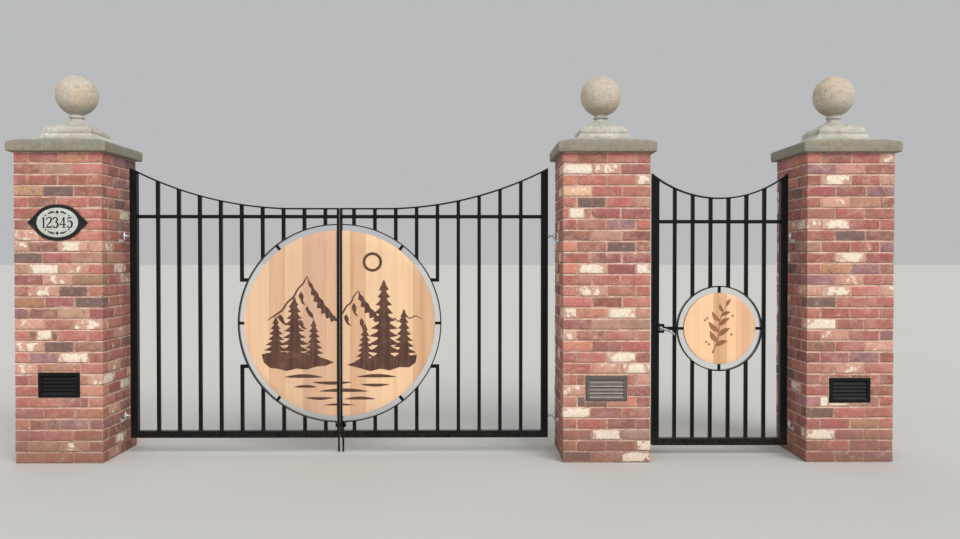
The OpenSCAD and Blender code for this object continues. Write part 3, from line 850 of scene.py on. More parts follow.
def cut_round_light(boxes, lz):
    """Bricks that meet the light's pocket are cut back round it."""
    x0, x1, z0, z1, gap = -143.0, 143.0, lz - 86.0, lz + 86.0, 6.0
    out = []
    for k, lo, hi in boxes:
        front = lo[1] < -PIER_W / 2 + 1
        if not front or hi[2] < z0 - gap or lo[2] > z1 + gap or hi[0] < x0 - gap or lo[0] > x1 + gap:
            out.append((k, lo, hi))
            continue
        if lo[0] < x0 - gap - 24:
            out.append((k, lo, (x0 - gap, hi[1], hi[2])))
        if hi[0] > x1 + gap + 24:
            out.append((k, (x1 + gap, lo[1], lo[2]), hi))
        a, b = max(lo[0], x0 - gap + 4), min(hi[0], x1 + gap - 4)
        if b - a > 30:
            if hi[2] > z1 + gap + 14:
                out.append((k, (a, lo[1], z1 + gap), (b, hi[1], hi[2])))
            if lo[2] < z0 - gap - 14:
                out.append((k, (a, lo[1], lo[2]), (b, hi[1], z0 - gap)))
    return out


def build_pier(name, seed):
    cx, lz = PIERS[name], LIGHT_Z[name]
    r = np.random.default_rng(seed)
    pile = Pile()
    weights = np.array([w for w, _ in BRICK_TONES])
    weights = weights / weights.sum()
    boxes = cut_round_light(courses(), lz)
    boxes = [piece for box in boxes for piece in split_closer(name, *box)]
    for k, lo, hi in boxes:
        lo, hi = np.array(lo, float), np.array(hi, float)
        size = hi - lo
        nx = 7 if size[0] > 120 else 6 if size[0] > 50 else 5
        ny = 7 if size[1] > 120 else 6
        xs = [stops(size[0], nx), stops(size[1], ny), stops(size[2], 6)]
        ids, quads = box_grid(nx, ny, 6)
        p = np.stack([xs[a][ids[:, a]] for a in range(3)], axis=1)
        away = np.sort(np.minimum(p, size - p), axis=1)[:, 1]
        edge = np.clip(1 - away / 9.0, 0, 1)
        middle = away > 5
        outer = [(a, s, middle & (p[:, a] == (0 if s < 0 else size[a]))) for a in (0, 1) for s in (-1, 1) if s * (lo, hi)[s > 0][a] > PIER_W / 2 - 1]
        # the foot of each brick, which the brick material darkens as painted shade
        under = np.clip(1 - p[:, 2] / 9.0, 0, 1)
        long = 0 if size[0] > size[1] else 1
        rim = np.clip(1 - np.minimum(p[:, long], size[long] - p[:, long]) / 46.0, 0, 1) * (1.0 if size[long] > 120 else 0.3)
        key = r.uniform(-4000, 4000, 3)
        worn = r.uniform(2.0, 4.4)
        chip = np.clip(lumps(p + key, 24, 3) - 0.10, 0, 1) * 13.0 * r.choice([0.4, 0.8, 1.2])
        p = rounded(p, (0, 0, 0), size, worn + chip)
        p += 0.8 * np.stack([lumps(p + key, 30, s) for s in (5, 6, 7)], axis=1)
        centre = size / 2
        tilt = r.normal(0, 0.0038, 3)
        q = p - centre
        q = q + np.cross(np.broadcast_to(tilt, q.shape), q)
        p = q + centre + lo + np.array([r.normal(0, 1.2), r.normal(0, 0.9), r.normal(0, 1.0)])
        for a, s, face in outer:
            p[face, a] += s * np.maximum(298.9 - s * p[face, a], 0)
        p[:, 0] = np.clip(p[:, 0], -301.5, 301.5)
        p[:, 1] = np.clip(p[:, 1], -301.5, 301.5)
        pick = r.choice(len(weights), p=weights)
        front = lo[1] < -PIER_W / 2 + 1
        if name == "centre" and front and pick > 4:  # its front is the most even
            pick = (0, 1, 3)[pick - 5]
        base = np.array(BRICK_TONES[pick][1], float) * r.uniform(0.90, 1.10) * r.uniform(0.96, 1.04, 3)
        lime, soot = r.choice([0.04, 0.14, 0.26], p=[0.55, 0.3, 0.15]), r.uniform(0.0, 0.3)
        u = r.random()
        kind = "cream" if u > 0.93 else "peach" if u > 0.88 else "dark" if u > 0.82 else "purple" if u > 0.79 else "sand" if u > 0.77 else ""
        if front:
            kind = marked_kind(name, k, lo, hi) or (kind if name == "right" and k > 14 else "")
        if kind:
            base, lime, soot, ends = KINDS[kind]
            rim = rim * ends
            base = np.array(base, float) * r.uniform(0.96, 1.04)
            lime = lime + (r.uniform(-0.12, 0.10) if lime > 0.3 else 0)
        pile.add(
            p + np.array([cx, 0, 0]),
            quads,
            tone=np.array(srgb(*np.clip(base, 0, 255))[:3]),
            shift=key / 4000 * 3,
            lime=lime,
            soot=soot,
            edge=edge,
            under=under,
            rim=rim,
        )
    pile.make(name + "_pier_bricks", "root", BRICK, "brick", [name + "_pier"], smooth=50)

    # the mortar that the bricks are bedded in, with the pocket for the light
    half = PIER_W / 2 - 2.8
    xs = np.sort(np.concatenate([np.linspace(-half, half, 15), [-143.0, 143.0]]))
    ys = np.linspace(-half, half, 15)
    zs = np.sort(np.concatenate([np.linspace(0, PIER_H, 57), [lz - 86, lz + 86]]))
    ids, quads = box_grid(len(xs) - 1, len(ys) - 1, len(zs) - 1)
    p = np.stack([xs[ids[:, 0]], ys[ids[:, 1]], zs[ids[:, 2]]], axis=1)
    inside = (abs(p[:, 0]) < 143.5) & (abs(p[:, 2] - lz) < 86.5) & (p[:, 1] < -half + 1)
    hole = {i for i, t in enumerate(inside) if t}
    cut = [tuple(q) for q in quads if all(i in hole for i in q)]
    quads = [q for q in quads if not all(i in hole for i in q)]
    wave = 1.1 * lumps(p + seed * 97.0, 45, 9) + 0.9 * lumps(p + seed * 31.0, 19, 8)
    out = p.copy()
    for a in (0, 1):
        outer = abs(abs(p[:, a]) - half) < 0.01
        out[:, a] += np.where(outer & ~inside, np.sign(p[:, a]) * np.minimum(wave, 1.0), 0)
    out[:, 2] = np.clip(out[:, 2], 0, PIER_H)
    edges = {e for q in cut for e in zip(q, q[1:] + q[:1])}
    mouth = sorted(e for e in edges if e[::-1] not in edges)
    back = {i: len(out) + k for k, i in enumerate(sorted({a for a, b in mouth}))}
    deep = out[sorted(back)]
    deep[:, 1] = -PIER_W / 2 + 71
    out[sorted(hole - set(back)), 1] = -PIER_W / 2 + 71
    quads += [tuple(back.get(i, i) for i in q) for q in cut] + [(a, b, back[b], back[a]) for a, b in mouth]
    core = Pile()
    core.add(np.vstack([out, deep]) + np.array([cx, 0, 0]), quads)
    core.make(name + "_pier_mortar", "root", MORTAR, "brick", [name + "_pier"], smooth=60)


for i, pier in enumerate(PIERS):
    build_pier(pier, 101 + i)


# ---------------------------------------------------------------- caps and finials
def square_ring(half, corner, z, side=14, bend=6, round_to=0.0):
    """Points round a square with rounded corners, anticlockwise from above. round_to 1 makes it a circle."""
    corner = min(corner, half * 0.98)
    c = half - corner
    pts = []
    for q in range(4):
        a0 = q * 90 - 45 - 45
        cxs, cys = [(c, -c), (c, c), (-c, c), (-c, -c)][q]
        for t in range(bend + 1):
            a = math.radians(a0 + 90 * t / bend)
            pts.append((cxs + corner * math.cos(a), cys + corner * math.sin(a)))
        nxt = [(c, c), (-c, c), (-c, -c), (c, -c)][q]
        a = math.radians(a0 + 90)
        start = np.array([cxs + corner * math.cos(a), cys + corner * math.sin(a)])
        end = np.array([nxt[0] + corner * math.cos(a), nxt[1] + corner * math.sin(a)])
        for t in range(1, side):
            pts.append(tuple(start + (end - start) * t / side))
    pts = np.array(pts)
    if round_to:
        unit = pts / np.linalg.norm(pts, axis=1, keepdims=True)
        pts = pts * (1 - round_to) + unit * half * round_to
    return np.hstack([pts, np.full((len(pts), 1), float(z))])


def wear(p, seed, small=0.7, large=1.0):
    """Moves points a little, as weathered stone has moved."""
    q = p + seed * 211.0
    d = np.stack([lumps(q, 60, s) * large + lumps(q, 16, s + 4) * small for s in (1, 2, 3)], axis=1)
    return p + d


def build_cap(name, seed):
    cx = PIERS[name]
    z0 = PIER_H
    prof = [
        (200, 4, z0 + 1.4), (296, 5, z0 + 1.4), (326, 7, z0 + 1.6), (333, 9, z0 + 2.6), (337, 11, z0 + 5.5), (339, 12, z0 + 11),
        (339.4, 12, z0 + 30), (339.2, 12, z0 + 50), (339, 12, z0 + 62), (337.5, 12, z0 + 68), (333.5, 12, z0 + 72.5),
        (326, 12, z0 + 76), (300, 12, z0 + 84.5), (270, 12, z0 + 94.3), (240, 12, z0 + 104), (214, 12, z0 + 112.6),
        (202, 11, z0 + 117), (194, 10, z0 + 121), (187, 9, z0 + 125.5), (181, 8, z0 + 131), (176, 8, z0 + 137),
        (172, 8, z0 + 143.5), (170, 8, z0 + 148), (168.5, 8, z0 + 150.6), (150, 8, z0 + 151),
    ]
    rings = [square_ring(h, c, z, side=16) for h, c, z in prof]
    pile = Pile()
    loft(pile, rings)
    pile.v = [wear(pile.points(), seed, 0.5, 0.9)]
    v = pile.v[0]
    v[:, 0] = np.clip(v[:, 0], -343, 343) + cx
    v[:, 1] = np.clip(v[:, 1], -343, 343)
    v[:, 2] = np.maximum(v[:, 2], z0 + 0.4)
    pile.make(name + "_cap_stone", "root", STONE, "cast_stone", [name + "_cap"], smooth=60)


def build_finial(name, seed):
    cx = PIERS[name]
    z = PLINTH_Z
    prof = [
        (150, 6, z + 0.2, 0), (163, 7, z + 0.4, 0), (167, 8, z + 2.4, 0), (168, 8, z + 6, 0), (168, 8, z + 16, 0), (168, 8, z + 24.5, 0),
        (166.6, 9, z + 28.5, 0), (162.5, 10, z + 32.5, 0), (157.5, 11, z + 38, 0), (151, 13, z + 43.5, 0), (145, 14, z + 48.5, 0),
        (138.5, 15, z + 52.5, 0), (128, 17, z + 57.5, 0), (114, 19, z + 63.5, 0), (101, 21, z + 70, 0), (90, 22, z + 76.5, 0.05),
        (79, 24, z + 83, 0.15), (68, 25, z + 90, 0.3), (58, 26, z + 97.5, 0.5), (49, 27, z + 105, 0.75), (42.5, 28, z + 112, 0.95),
        (40.4, 28, z + 116.5, 1), (40.2, 28, z + 120, 1), (44.5, 28, z + 121.4, 1), (50.8, 28, z + 123.4, 1), (53.2, 28, z + 127.5, 1),
        (53.6, 28, z + 131.5, 1), (53, 28, z + 136.5, 1), (50, 28, z + 140.2, 1), (46, 28, z + 142.2, 1), (44.6, 28, z + 145, 1),
    ]
    rings = [square_ring(h, min(c, h * 0.6), zz, side=14, round_to=t) for h, c, zz, t in prof]
    pile = Pile()
    # the ball carries on from the neck
    ball = []
    r, cz = 144.0, z + 287.0
    start = math.degrees(math.asin(45.0 / r))
    for a in np.linspace(start, 178.6, 46):
        ball.append((r * math.sin(math.radians(a)), cz - r * math.cos(math.radians(a))))
    for h, zz in ball:
        rings.append(square_ring(h, min(28, h * 0.6), zz, side=14, round_to=1))
    loft(pile, rings)
    p = wear(pile.points(), seed, 0.45, 0.8)
    p[:, 2] = np.clip(p[:, 2], z + 0.1, None)
    pile.v = [p + np.array([cx, 0, 0])]
    pile.make(name + "_finial_stone", "root", STONE, "cast_stone", [name + "_ball_finial"], smooth=70)


for i, pier in enumerate(PIERS):
    build_cap(pier, 3 + i)
    build_finial(pier, 13 + i)


# ---------------------------------------------------------------- recessed lights
def rect_ring(hx, hz, y, corner, cx, cz, n=4):
    """A rounded rectangle that faces -y, anticlockwise seen from -y."""
    pts = []
    for q, (sx, sz) in enumerate(((1, -1), (1, 1), (-1, 1), (-1, -1))):
        for t in range(n + 1):
            a = math.radians(q * 90 - 90 + 90 * t / n)
            pts.append((cx + sx * (hx - corner) + corner * math.cos(a), y, cz + sz * (hz - corner) + corner * math.sin(a)))
    return np.array(pts)


def build_light(name, finish, slot, lens_finish):
    cx, cz = PIERS[name], LIGHT_Z[name]
    f = -PIER_W / 2
    body = Pile()
    steps = [
        (141, 84, f + 66, 2), (142, 85, f + 64, 3), (142, 85, f - 2.2, 3), (141.4, 84.4, f - 3.4, 3), (139.6, 82.6, f - 4, 3),
        (119.5, 65.5, f - 4, 3), (117.6, 63.6, f - 3.5, 3), (116.2, 62.2, f - 2.2, 3), (116, 62, f + 31, 2),
    ]
    rings = [rect_ring(hx, hz, y, c, cx, cz) for hx, hz, y, c in steps]
    grime = np.concatenate([np.repeat([1, 1, 1, 1, 0.9, 0.4, 0.4, 0.6, 0.6], len(rings[0])), [1.0, 0.6]])
    loft(body, rings, worn=0.0, soil=grime)
    # louvres, each a leaning blade with a lip rolled at its foot
    mid = np.array([(-1.4, 4.4), (-2.6, 2.6), (-2.0, 0.9), (0.2, 0.8), (2.2, 3.0), (4.4, 8.0), (6.8, 13.5), (9.2, 19.0), (11.2, 23.6)])
    # how much painted highlight each point of a blade's section gets: most on the rolled lip, which catches the light
    lip_highlight = np.array([1, 1, 1, 0.7, 0.25, 0, 0, 0, 0])
    for k in range(5):
        line = mid + np.array([0, -62.4 + k * 24.8])
        d = np.gradient(line, axis=0)
        d /= np.linalg.norm(d, axis=1, keepdims=True)
        side = np.stack([-d[:, 1], d[:, 0]], axis=1) * 0.9
        sec = np.vstack([line + side, (line - side)[::-1]])
        rings = []
        for x in np.linspace(-115.9, 115.9, 9):
            rings.append(np.stack([np.full(len(sec), cx + x), f + sec[:, 0], cz + sec[:, 1]], axis=1))
        loft(body, rings, worn=np.concatenate([np.tile(np.concatenate([lip_highlight, lip_highlight[::-1]]), 9), [0.0, 0.0]]), soil=0.0)
    for sx in (-1, 1):
        for sz in (-1, 1):
            turned(
                body, [(4.6, 0), (4.6, 0.8), (3.9, 1.6), (2.6, 2.0), (2.2, 1.0), (0.6, 0.9)],
                (cx + sx * 130, f - 3.7, cz + sz * 74), (0, -1, 0), 16, worn=0.0, soil=0.8,
            )
    body.make(name + "_light_louvre", "root", finish, slot, [name + "_brick_light"], smooth=40)
    lens = Pile()
    ids, quads = box_grid(10, 1, 10)
    x, z = -115.6 + 23.12 * ids[:, 0], -61.6 + 12.32 * ids[:, 2]
    bow = 3.0 * (1 - (x / 115.6) ** 2) * (1 - (z / 61.6) ** 2)
    lens.add(np.stack([cx + x, np.where(ids[:, 1] == 0, f + 29.0 - bow, f + 30.8), cz + z], axis=1), quads)
    lens.make(name + "_light_lens", "root", lens_finish, slot, [name + "_brick_light"])


build_light("left", LIGHT_BLACK, "light_black", LENS_DARK)
build_light("centre", LIGHT_GREY, "light_grey", LENS_PALE)
build_light("right", LIGHT_BLACK, "light_black", LENS_DARK)

# ---------------------------------------------------------------- oval plaque
def build_plaque():
    cx, cz, f = PIERS["left"], 1652.0, -PIER_W / 2
    n = 160
    ang = np.arange(n) * 2 * math.pi / n
    c, s = np.cos(ang), np.sin(ang)
    oval = 1 / np.sqrt((c / 170) ** 2 + (s / 124) ** 2)
    # ears: straight lines from the point to the shoulder
    ear = 206 * 46 / (46 * np.abs(c) + 46 * np.abs(s) + 1e-9)
    ear = np.where(np.abs(s) < np.abs(c), 206 / (np.abs(c) + np.abs(s)), 0)
    r = np.maximum(oval, np.minimum(ear, 206))

    def ring(radius, y):
        return np.stack([cx + radius * c, np.full(n, y), cz + radius * s], axis=1)

    def oval_ring(a, b, y):
        return ring(1 / np.sqrt((c / a) ** 2 + (s / b) ** 2), y)

    plate = Pile()
    rings = [
        ring(r - 1, f), ring(r, f - 1), ring(r, f - 5.4), ring(r - 1.2, f - 7.0), ring(r - 3.2, f - 7.8), ring(r - 7, f - 7.8),
        ring(r - 9, f - 6.6), oval_ring(155, 113, f - 6.4), oval_ring(150, 109, f - 8.0), oval_ring(146, 105.5, f - 8.2),
        oval_ring(142.5, 102.5, f - 6.6), oval_ring(138, 98, f - 6.4),
    ]
    loft(plate, rings)
    for sx in (-1, 1):
        turned(plate, [(6.0, 0), (6.0, 1.2), (5.0, 2.4), (3.0, 3.0), (2.4, 1.8), (0.6, 1.7)], (cx + sx * 180, f - 6.2, cz), (0, -1, 0), 20)
    plate.make("number_plaque_plate", "root", BLACK_ENAMEL, "plaque", ["number_plaque"], smooth=40)
    face = Pile()
    rings = [oval_ring(141, 101, f - 5.5), oval_ring(141, 101, f - 7.6), oval_ring(140, 100, f - 8.6), oval_ring(138, 98.4, f - 9.0), oval_ring(70, 50, f - 9.0)]
    loft(face, rings)
    face.make("number_plaque_face", "root", WHITE_ENAMEL, "plaque", ["number_plaque"], smooth=40)
    marks = Pile()
    # the figures, drawn with thick and thin strokes
    def ribbon(path, widths):
        path = np.array(path, float)
        widths = np.array(widths, float)
        t = np.linspace(0, 1, len(path))
        tt = np.linspace(0, 1, 8 * len(path))
        fine = np.stack([smooth_line(t, path[:, a], tt) for a in (0, 1)], axis=1)
        w = np.interp(tt, t, widths)
        d = np.gradient(fine, axis=0)
        d /= np.linalg.norm(d, axis=1, keepdims=True)
        side = np.stack([-d[:, 1], d[:, 0]], axis=1) * w[:, None] / 2
        return np.vstack([fine + side, (fine - side)[::-1]])

    one = np.array([(-15, -49), (17, -49), (17, -45), (9, -42), (9, 49), (4, 49), (-16, 40), (-16, 35), (-6, 36), (-6, -42), (-15, -45)], float)
    two = ribbon([(-22, 26), (-21, 38), (-10, 47), (3, 48), (16, 42), (21, 28), (15, 12), (2, -6), (-14, -24), (-23, -42)], [14, 12, 8, 8, 13, 17, 16, 12, 9, 7])
    foot = np.array([(-28, -49), (23, -49), (28, -26), (24, -26), (19, -35), (-16, -35), (-28, -43)], float)
    three_top = ribbon([(-20, 30), (-16, 43), (-2, 48), (13, 43), (18, 28), (11, 11), (-6, 4)], [15, 12, 8, 12, 16, 12, 6])
    three_low = ribbon([(-6, 5), (12, 1), (22, -15), (19, -35), (4, -46), (-12, -45), (-22, -32)], [6, 10, 17, 17, 9, 10, 15])
    four_diag = ribbon([(7, 47), (-6, 20), (-19, -4), (-29, -19)], [8, 6, 6, 6])
    four_bar = np.array([(-33, -23), (27, -23), (27, -15), (-33, -15)], float)
    four_stem = np.array([(2, 49), (16, 49), (16, -42), (24, -45), (24, -49), (-6, -49), (-6, -45), (2, -42)], float)
    five_bar = np.array([(-18, 49), (20, 49), (16, 37), (-14, 37)], float)
    five_stem = np.array([(-18, 49), (-13, 49), (-15, 6), (-20, 6)], float)
    five_bowl = ribbon([(-18, 9), (-4, 15), (13, 10), (22, -8), (18, -32), (4, -46), (-11, -45), (-21, -34)], [6, 10, 15, 18, 17, 10, 10, 15])
    digits = ((one,), (two, foot), (three_top, three_low), (four_diag, four_bar, four_stem), (five_bar, five_stem, five_bowl))
    for dx, shapes in zip((-93, -55, -12, 39, 85), digits):
        for lift, s2 in enumerate(shapes):
            out = [(cx + x * 0.72 + dx, cz + z * 0.74) for x, z in s2]
            into(marks, flat_plate([out], f - 8.8, f - 9.9 - 0.08 * lift, 0.25))
    # small ornaments above and below them: a lozenge between tapering curves
    for up in (1, -1):
        for sx in (-1, 1):
            curve = ribbon([(sx * 15, 70), (sx * 32, 72), (sx * 50, 66), (sx * 68, 56)], [3.0, 12.0, 10.0, 2.0])
            out = [(cx + x, cz + up * z) for x, z in curve]
            into(marks, flat_plate([out], f - 8.8, f - 9.9, 0.25))
            a = np.linspace(0, 2 * math.pi, 17)[:-1]
            out = [(cx + sx * 80 + 5.5 * math.cos(t), cz + up * 48 + 5.5 * math.sin(t)) for t in a]
            into(marks, flat_plate([out], f - 8.8, f - 9.9, 0.25))
        out = [(cx, cz + up * 86), (cx + 11, cz + up * 72), (cx, cz + up * 58), (cx - 11, cz + up * 72)]
        into(marks, flat_plate([out], f - 8.8, f - 9.9, 0.25))
    marks.make("number_plaque_figures", "root", BLACK_ENAMEL, "plaque", ["number_plaque"], smooth=40)


def smooth_line(t, y, tt):
    """A smooth curve through points, as Catmull and Rom describe it, for one coordinate."""
    y = np.asarray(y, float)
    ext = np.concatenate([[2 * y[0] - y[1]], y, [2 * y[-1] - y[-2]]])
    k = np.clip((tt * (len(y) - 1)).astype(int), 0, len(y) - 2)
    u = tt * (len(y) - 1) - k
    a, b, c, d = ext[k], ext[k + 1], ext[k + 2], ext[k + 3]
    return 0.5 * (2 * b + (c - a) * u + (2 * a - 5 * b + 4 * c - d) * u**2 + (3 * b - a - 3 * c + d) * u**3)


build_plaque()


# ---------------------------------------------------------------- hinges
def threads(x0, x1, r, pitch=1.75):
    """Places and radii of a thread's crests and roots between two places."""
    n = max(2, int(abs(x1 - x0) / (pitch / 2)))
    xs = np.linspace(x0, x1, n)
    return xs, np.where(np.arange(n) % 2 == 0, r, r - 0.75)


def j_bolt(pile, px, py, pz, reach, s):
    """Pin, bend and leg with washer and nut; s is -1 where the pier lies on the pin's low x side."""
    pin = [(0, 23.9, 5.6), (0, 23.0, 7.2), (0, 21.5, 8), (0, 10, 8), (0, 0, 8), (0, -10, 8), (0, -17.9, 8)]
    path = [(x, z) for x, z, _ in pin]
    rad = [r for _, _, r in pin]
    for a in np.linspace(8, 90, 9):
        path.append((18 - 18 * math.cos(math.radians(a)), -18 - 18 * math.sin(math.radians(a))))
        rad.append(8)
    nut = 13
    path.append((19.5, -36))
    rad.append(8)
    xs, rr = threads(21.0, reach - nut + 1, 8.0)
    for x, r in zip(xs, rr):
        path.append((x, -36))
        rad.append(r)
    path.append((reach, -36))
    rad.append(8)
    pts = np.array([(px + s * x, py, pz + z) for x, z in path])
    tube(pile, pts, rad, 20)
    turned(pile, [(8.05, -14.4), (13, -14.4), (14, -13.9), (14, -11.9), (13, -11.4), (8.05, -11.4)], (px, py, pz), (0, 0, 1), 32, closed=True)
    turned(pile, [(8, 0), (17.4, 0), (18, 0.6), (18, 2.4), (17.4, 3), (8, 3)], (px + s * reach, py, pz - 36), (-s, 0, 0), 32, closed=True)
    hex_nut(pile, (px + s * (reach - 3), py, pz - 36), (-s, 0, 0), 14, 10)


def hinge_eye(pile, px, py, pz, reach, s):
    """Forged eye, shank and nut; s is 1 where the stile lies on the pin's high x side."""
    prof = [(8.06, -9.8), (9.2, -11), (14.8, -11), (16.5, -10.2), (17, -8.4), (17, 8.4), (16.5, 10.2), (14.8, 11), (9.2, 11), (8.06, 9.8)]
    turned(pile, prof, (px, py, pz), (0, 0, 1), 40, closed=True)
    nut = min(11.0, reach - 15.5)
    xs, rr = threads(17.5, reach - nut + 1, 8.0)
    path = [(14.5, 9.0), (16.2, 8.4)] + list(zip(xs, rr)) + [(reach, 8.0)]
    tube(pile, [(px + s * x, py, pz) for x, _ in path], [r for _, r in path], 20)
    hex_nut(pile, (px + s * (reach - nut), py, pz), (s, 0, 0), 14, nut)


def build_hinges():
    for node, px, py, levels, reach, s in (
        ("left_pier_hinge_bolts", -3424.0, 0.0, (275, 1568), 32.0, -1),
        ("centre_pier_hinge_bolts", -332.0, 0.0, (275, 1568), 32.0, 1),
        ("right_pier_hinge_bolts", 1348.0, -60.0, (222, 1566), 32.0, 1),
    ):
        pile = Pile()
        for z in levels:
            j_bolt(pile, px, py, z, reach, s)
        pile.make(node + "_zinc", "root", ZINC, "zinc_steel", [node], smooth=40)
    for node, body, px, py, levels, reach, s in (
        ("left_hinge_eyes", "left_leaf", -3424.0, 0.0, (275, 1568), 48.0, 1),
        ("right_hinge_eyes", "right_leaf", -332.0, 0.0, (275, 1568), 48.0, -1),
        ("side_hinge_eyes", "side_leaf", 1348.0, -60.0, (222, 1566), 22.0, -1),
    ):
        pile = Pile()
        for z in levels:
            hinge_eye(pile, px, py, z, reach, s)
        pile.make(node + "_zinc", body, ZINC, "zinc_steel", [node], smooth=40)


build_hinges()


# ---------------------------------------------------------------- drop rods and guides
def build_rods():
    """Rods behind the leaves, in straps round them."""
    for side, s in (("left", -1), ("right", 1)):
        x, y, rr = MEET_X + s * 16.0, 42.0, 7.0
        rod = Pile()
        top = 220.5
        path = [(0, 3.0, 3.6), (0, 4.2, 5.8), (0, 6.8, rr), (0, 60, rr), (0, 130, rr), (0, 180, rr), (0, top - 11, rr)]
        pts = [(0, z) for _, z, _ in path]
        rad = [r for _, _, r in path]
        for a in np.linspace(12, 90, 7):
            t = math.radians(a)
            pts.append((10 - 10 * math.cos(t), top - 10 + 10 * math.sin(t)))
            rad.append(rr)
        for d, r in ((16, rr), (24, rr), (28, 6.4), (30.2, 4.8), (31, 2.2)):
            pts.append((d, top))
            rad.append(r)
        tube(rod, [(x + s * a, y, z) for a, z in pts], rad, 20)
        rod.make(side + "_drop_rod_bar", side + "_drop_rod", IRON, "black_iron", [side + "_drop_rod"], smooth=50)
        guide, bolts = Pile(), Pile()
        for z in (127.0, 185.0):
            # a strap bent round the rod, on a foot plate
            x0 = MEET_X + (4.2 if s > 0 else -37.8)
            soft_box(guide, (x0, 25.0, z), (x0 + 33.6, 34.0, z + 28), 1.6, (1, 1, 1))
            ang = np.linspace(-10, 190, 15)
            outer = [(x + 11.8 * math.cos(math.radians(a)), y + 12 * math.sin(math.radians(a)) * 0.98) for a in ang]
            inner = [(x + 7.6 * math.cos(math.radians(a)), y + 7.6 * math.sin(math.radians(a))) for a in ang[::-1]]
            outer = [(x + 11.8, 33.0)] + outer + [(x - 11.8, 33.0)]
            inner = [(x - 7.6, 33.0)] + inner + [(x + 7.6, 33.0)]
            sec = np.array(outer + inner)
            heights = (z + 0.2, z + 1.4, z + 13.5, z + 25.2, z + 26.4)  # below the rod's bend
            rings = [np.hstack([sec, np.full((len(sec), 1), zz)]) for zz in heights]
            n, m = len(sec), len(outer)
            f = strip_faces(len(rings), n)
            for base, flip in ((0, True), ((len(rings) - 1) * n, False)):
                for i in range(m - 1):
                    q = (base + i, base + i + 1, base + n - 2 - i, base + n - 1 - i)
                    f.append(q[::-1] if flip else q)
            guide.add(np.vstack(rings), f)
            hex_nut(bolts, (MEET_X + s * 32.4, 34.0, z + 14), (0, 1, 0), 4.6, 4.0)
        guide.make(side + "_rod_guide_straps", side + "_leaf", IRON, "black_iron", [side + "_rod_guides"], smooth=45)
        bolts.make(side + "_rod_guide_bolts", side + "_leaf", IRON, "black_iron", [side + "_rod_guides"], smooth=40)


build_rods()


# ---------------------------------------------------------------- latch of the side leaf
def build_latch():
    """A weld-in lock case with its front plate, a zinc rose and a drooping lever."""
    x, y, z = SIDE_X - 434.0 + 10.0, SIDE_Y - 29.0, SIDE_Z
    case = Pile()
    soft_box(case, (SIDE_X - 434.0, SIDE_Y - 25.0, z - 28), (SIDE_X - 398.0, SIDE_Y + 25.0, z + 32), 2.0, (2, 2, 2))
    outline = [(SIDE_X - 424.0 + a, z + 2 + b) for a, b in rounded_outline(26, 32, 3)]
    into(case, flat_plate([outline], y + 4, y, 0.8))
    for dx, dz in ((-19, -24), (-19, 28), (19, -24), (19, 28)):
        turned(case, [(4.2, 0), (4.2, 0.8), (3.4, 1.7), (2.2, 2.0), (1.8, 1.1), (0.5, 1.0)], (SIDE_X - 424.0 + dx, y + 0.2, z + dz), (0, -1, 0), 16)
    case.make("side_lock_case_box", "side_leaf", IRON, "black_iron", ["side_lock_case"], smooth=40)
    rose = Pile()
    turned(rose, [(16.2, -0.5), (17, 0.4), (17, 2.6), (15.6, 4.2), (12.8, 5.0), (12.2, 4.2), (6, 4.2)], (x, y, z), (0, -1, 0), 40)
    rose.make("side_lock_rose", "side_leaf", LEVER_ZINC, "zinc_steel", ["side_lock_case"], smooth=40)
    lever = Pile()
    turned(lever, [(11, 5.6), (12, 6.6), (12, 22.4), (11.2, 24.2), (9, 25.2), (4, 25.5), (3.4, 24.4), (0.8, 24.2)], (x, y, z), (0, -1, 0), 40)
    rings = []
    n = 20
    ang = np.arange(n) * 2 * math.pi / n
    reach = 98.0
    for t in np.concatenate([np.linspace(0.02, 0.94, 20), [0.965, 0.985, 0.997]]):
        slope = math.atan2(-16 - 84 * t**2, reach)
        w = 9 - 3 * t
        if t > 0.94:
            w *= math.sqrt(max(0.05, 1 - ((t - 0.94) / 0.0605) ** 2))
        th = 4.4 - 0.9 * t
        # superellipse section across the arm
        a = np.sign(np.cos(ang)) * np.abs(np.cos(ang)) ** 0.7 * w
        b = np.sign(np.sin(ang)) * np.abs(np.sin(ang)) ** 0.7 * th
        rings.append(
            np.stack([x + reach * t - math.sin(slope) * a, y - 18.5 + b, z - 16 * t - 28 * t**3 + math.cos(slope) * a], axis=1)
        )
    loft(lever, [r[::-1] for r in rings])
    lever.make("side_latch_handle", "side_latch_lever", LEVER_ZINC, "zinc_steel", ["side_latch_lever"], smooth=45)


def rounded_outline(hx, hz, r, n=6):
    pts = []
    for q, (sx, sz) in enumerate(((1, -1), (1, 1), (-1, 1), (-1, -1))):
        for t in range(n + 1):
            a = math.radians(q * 90 - 90 + 90 * t / n)
            pts.append((sx * (hx - r) + r * math.cos(a), sz * (hz - r) + r * math.sin(a)))
    return pts


build_latch()

# ---------------------------------------------------------------- wooden medallions
WOODS = {
    "pale": ((242, 202, 162), (226, 180, 138)),
    "honey": ((236, 192, 148), (214, 162, 118)),
    "pink": ((237, 188, 152), (222, 166, 129)),
    "glow": ((250, 206, 162), (239, 187, 141)),
    "straw": ((230, 192, 156), (214, 172, 134)),
    "rose": ((222, 180, 146), (206, 160, 124)),
    "dusk": ((214, 172, 144), (198, 152, 122)),
    "amber": ((214, 172, 136), (194, 146, 108)),
    "tawny": ((226, 182, 142), (206, 158, 118)),
}


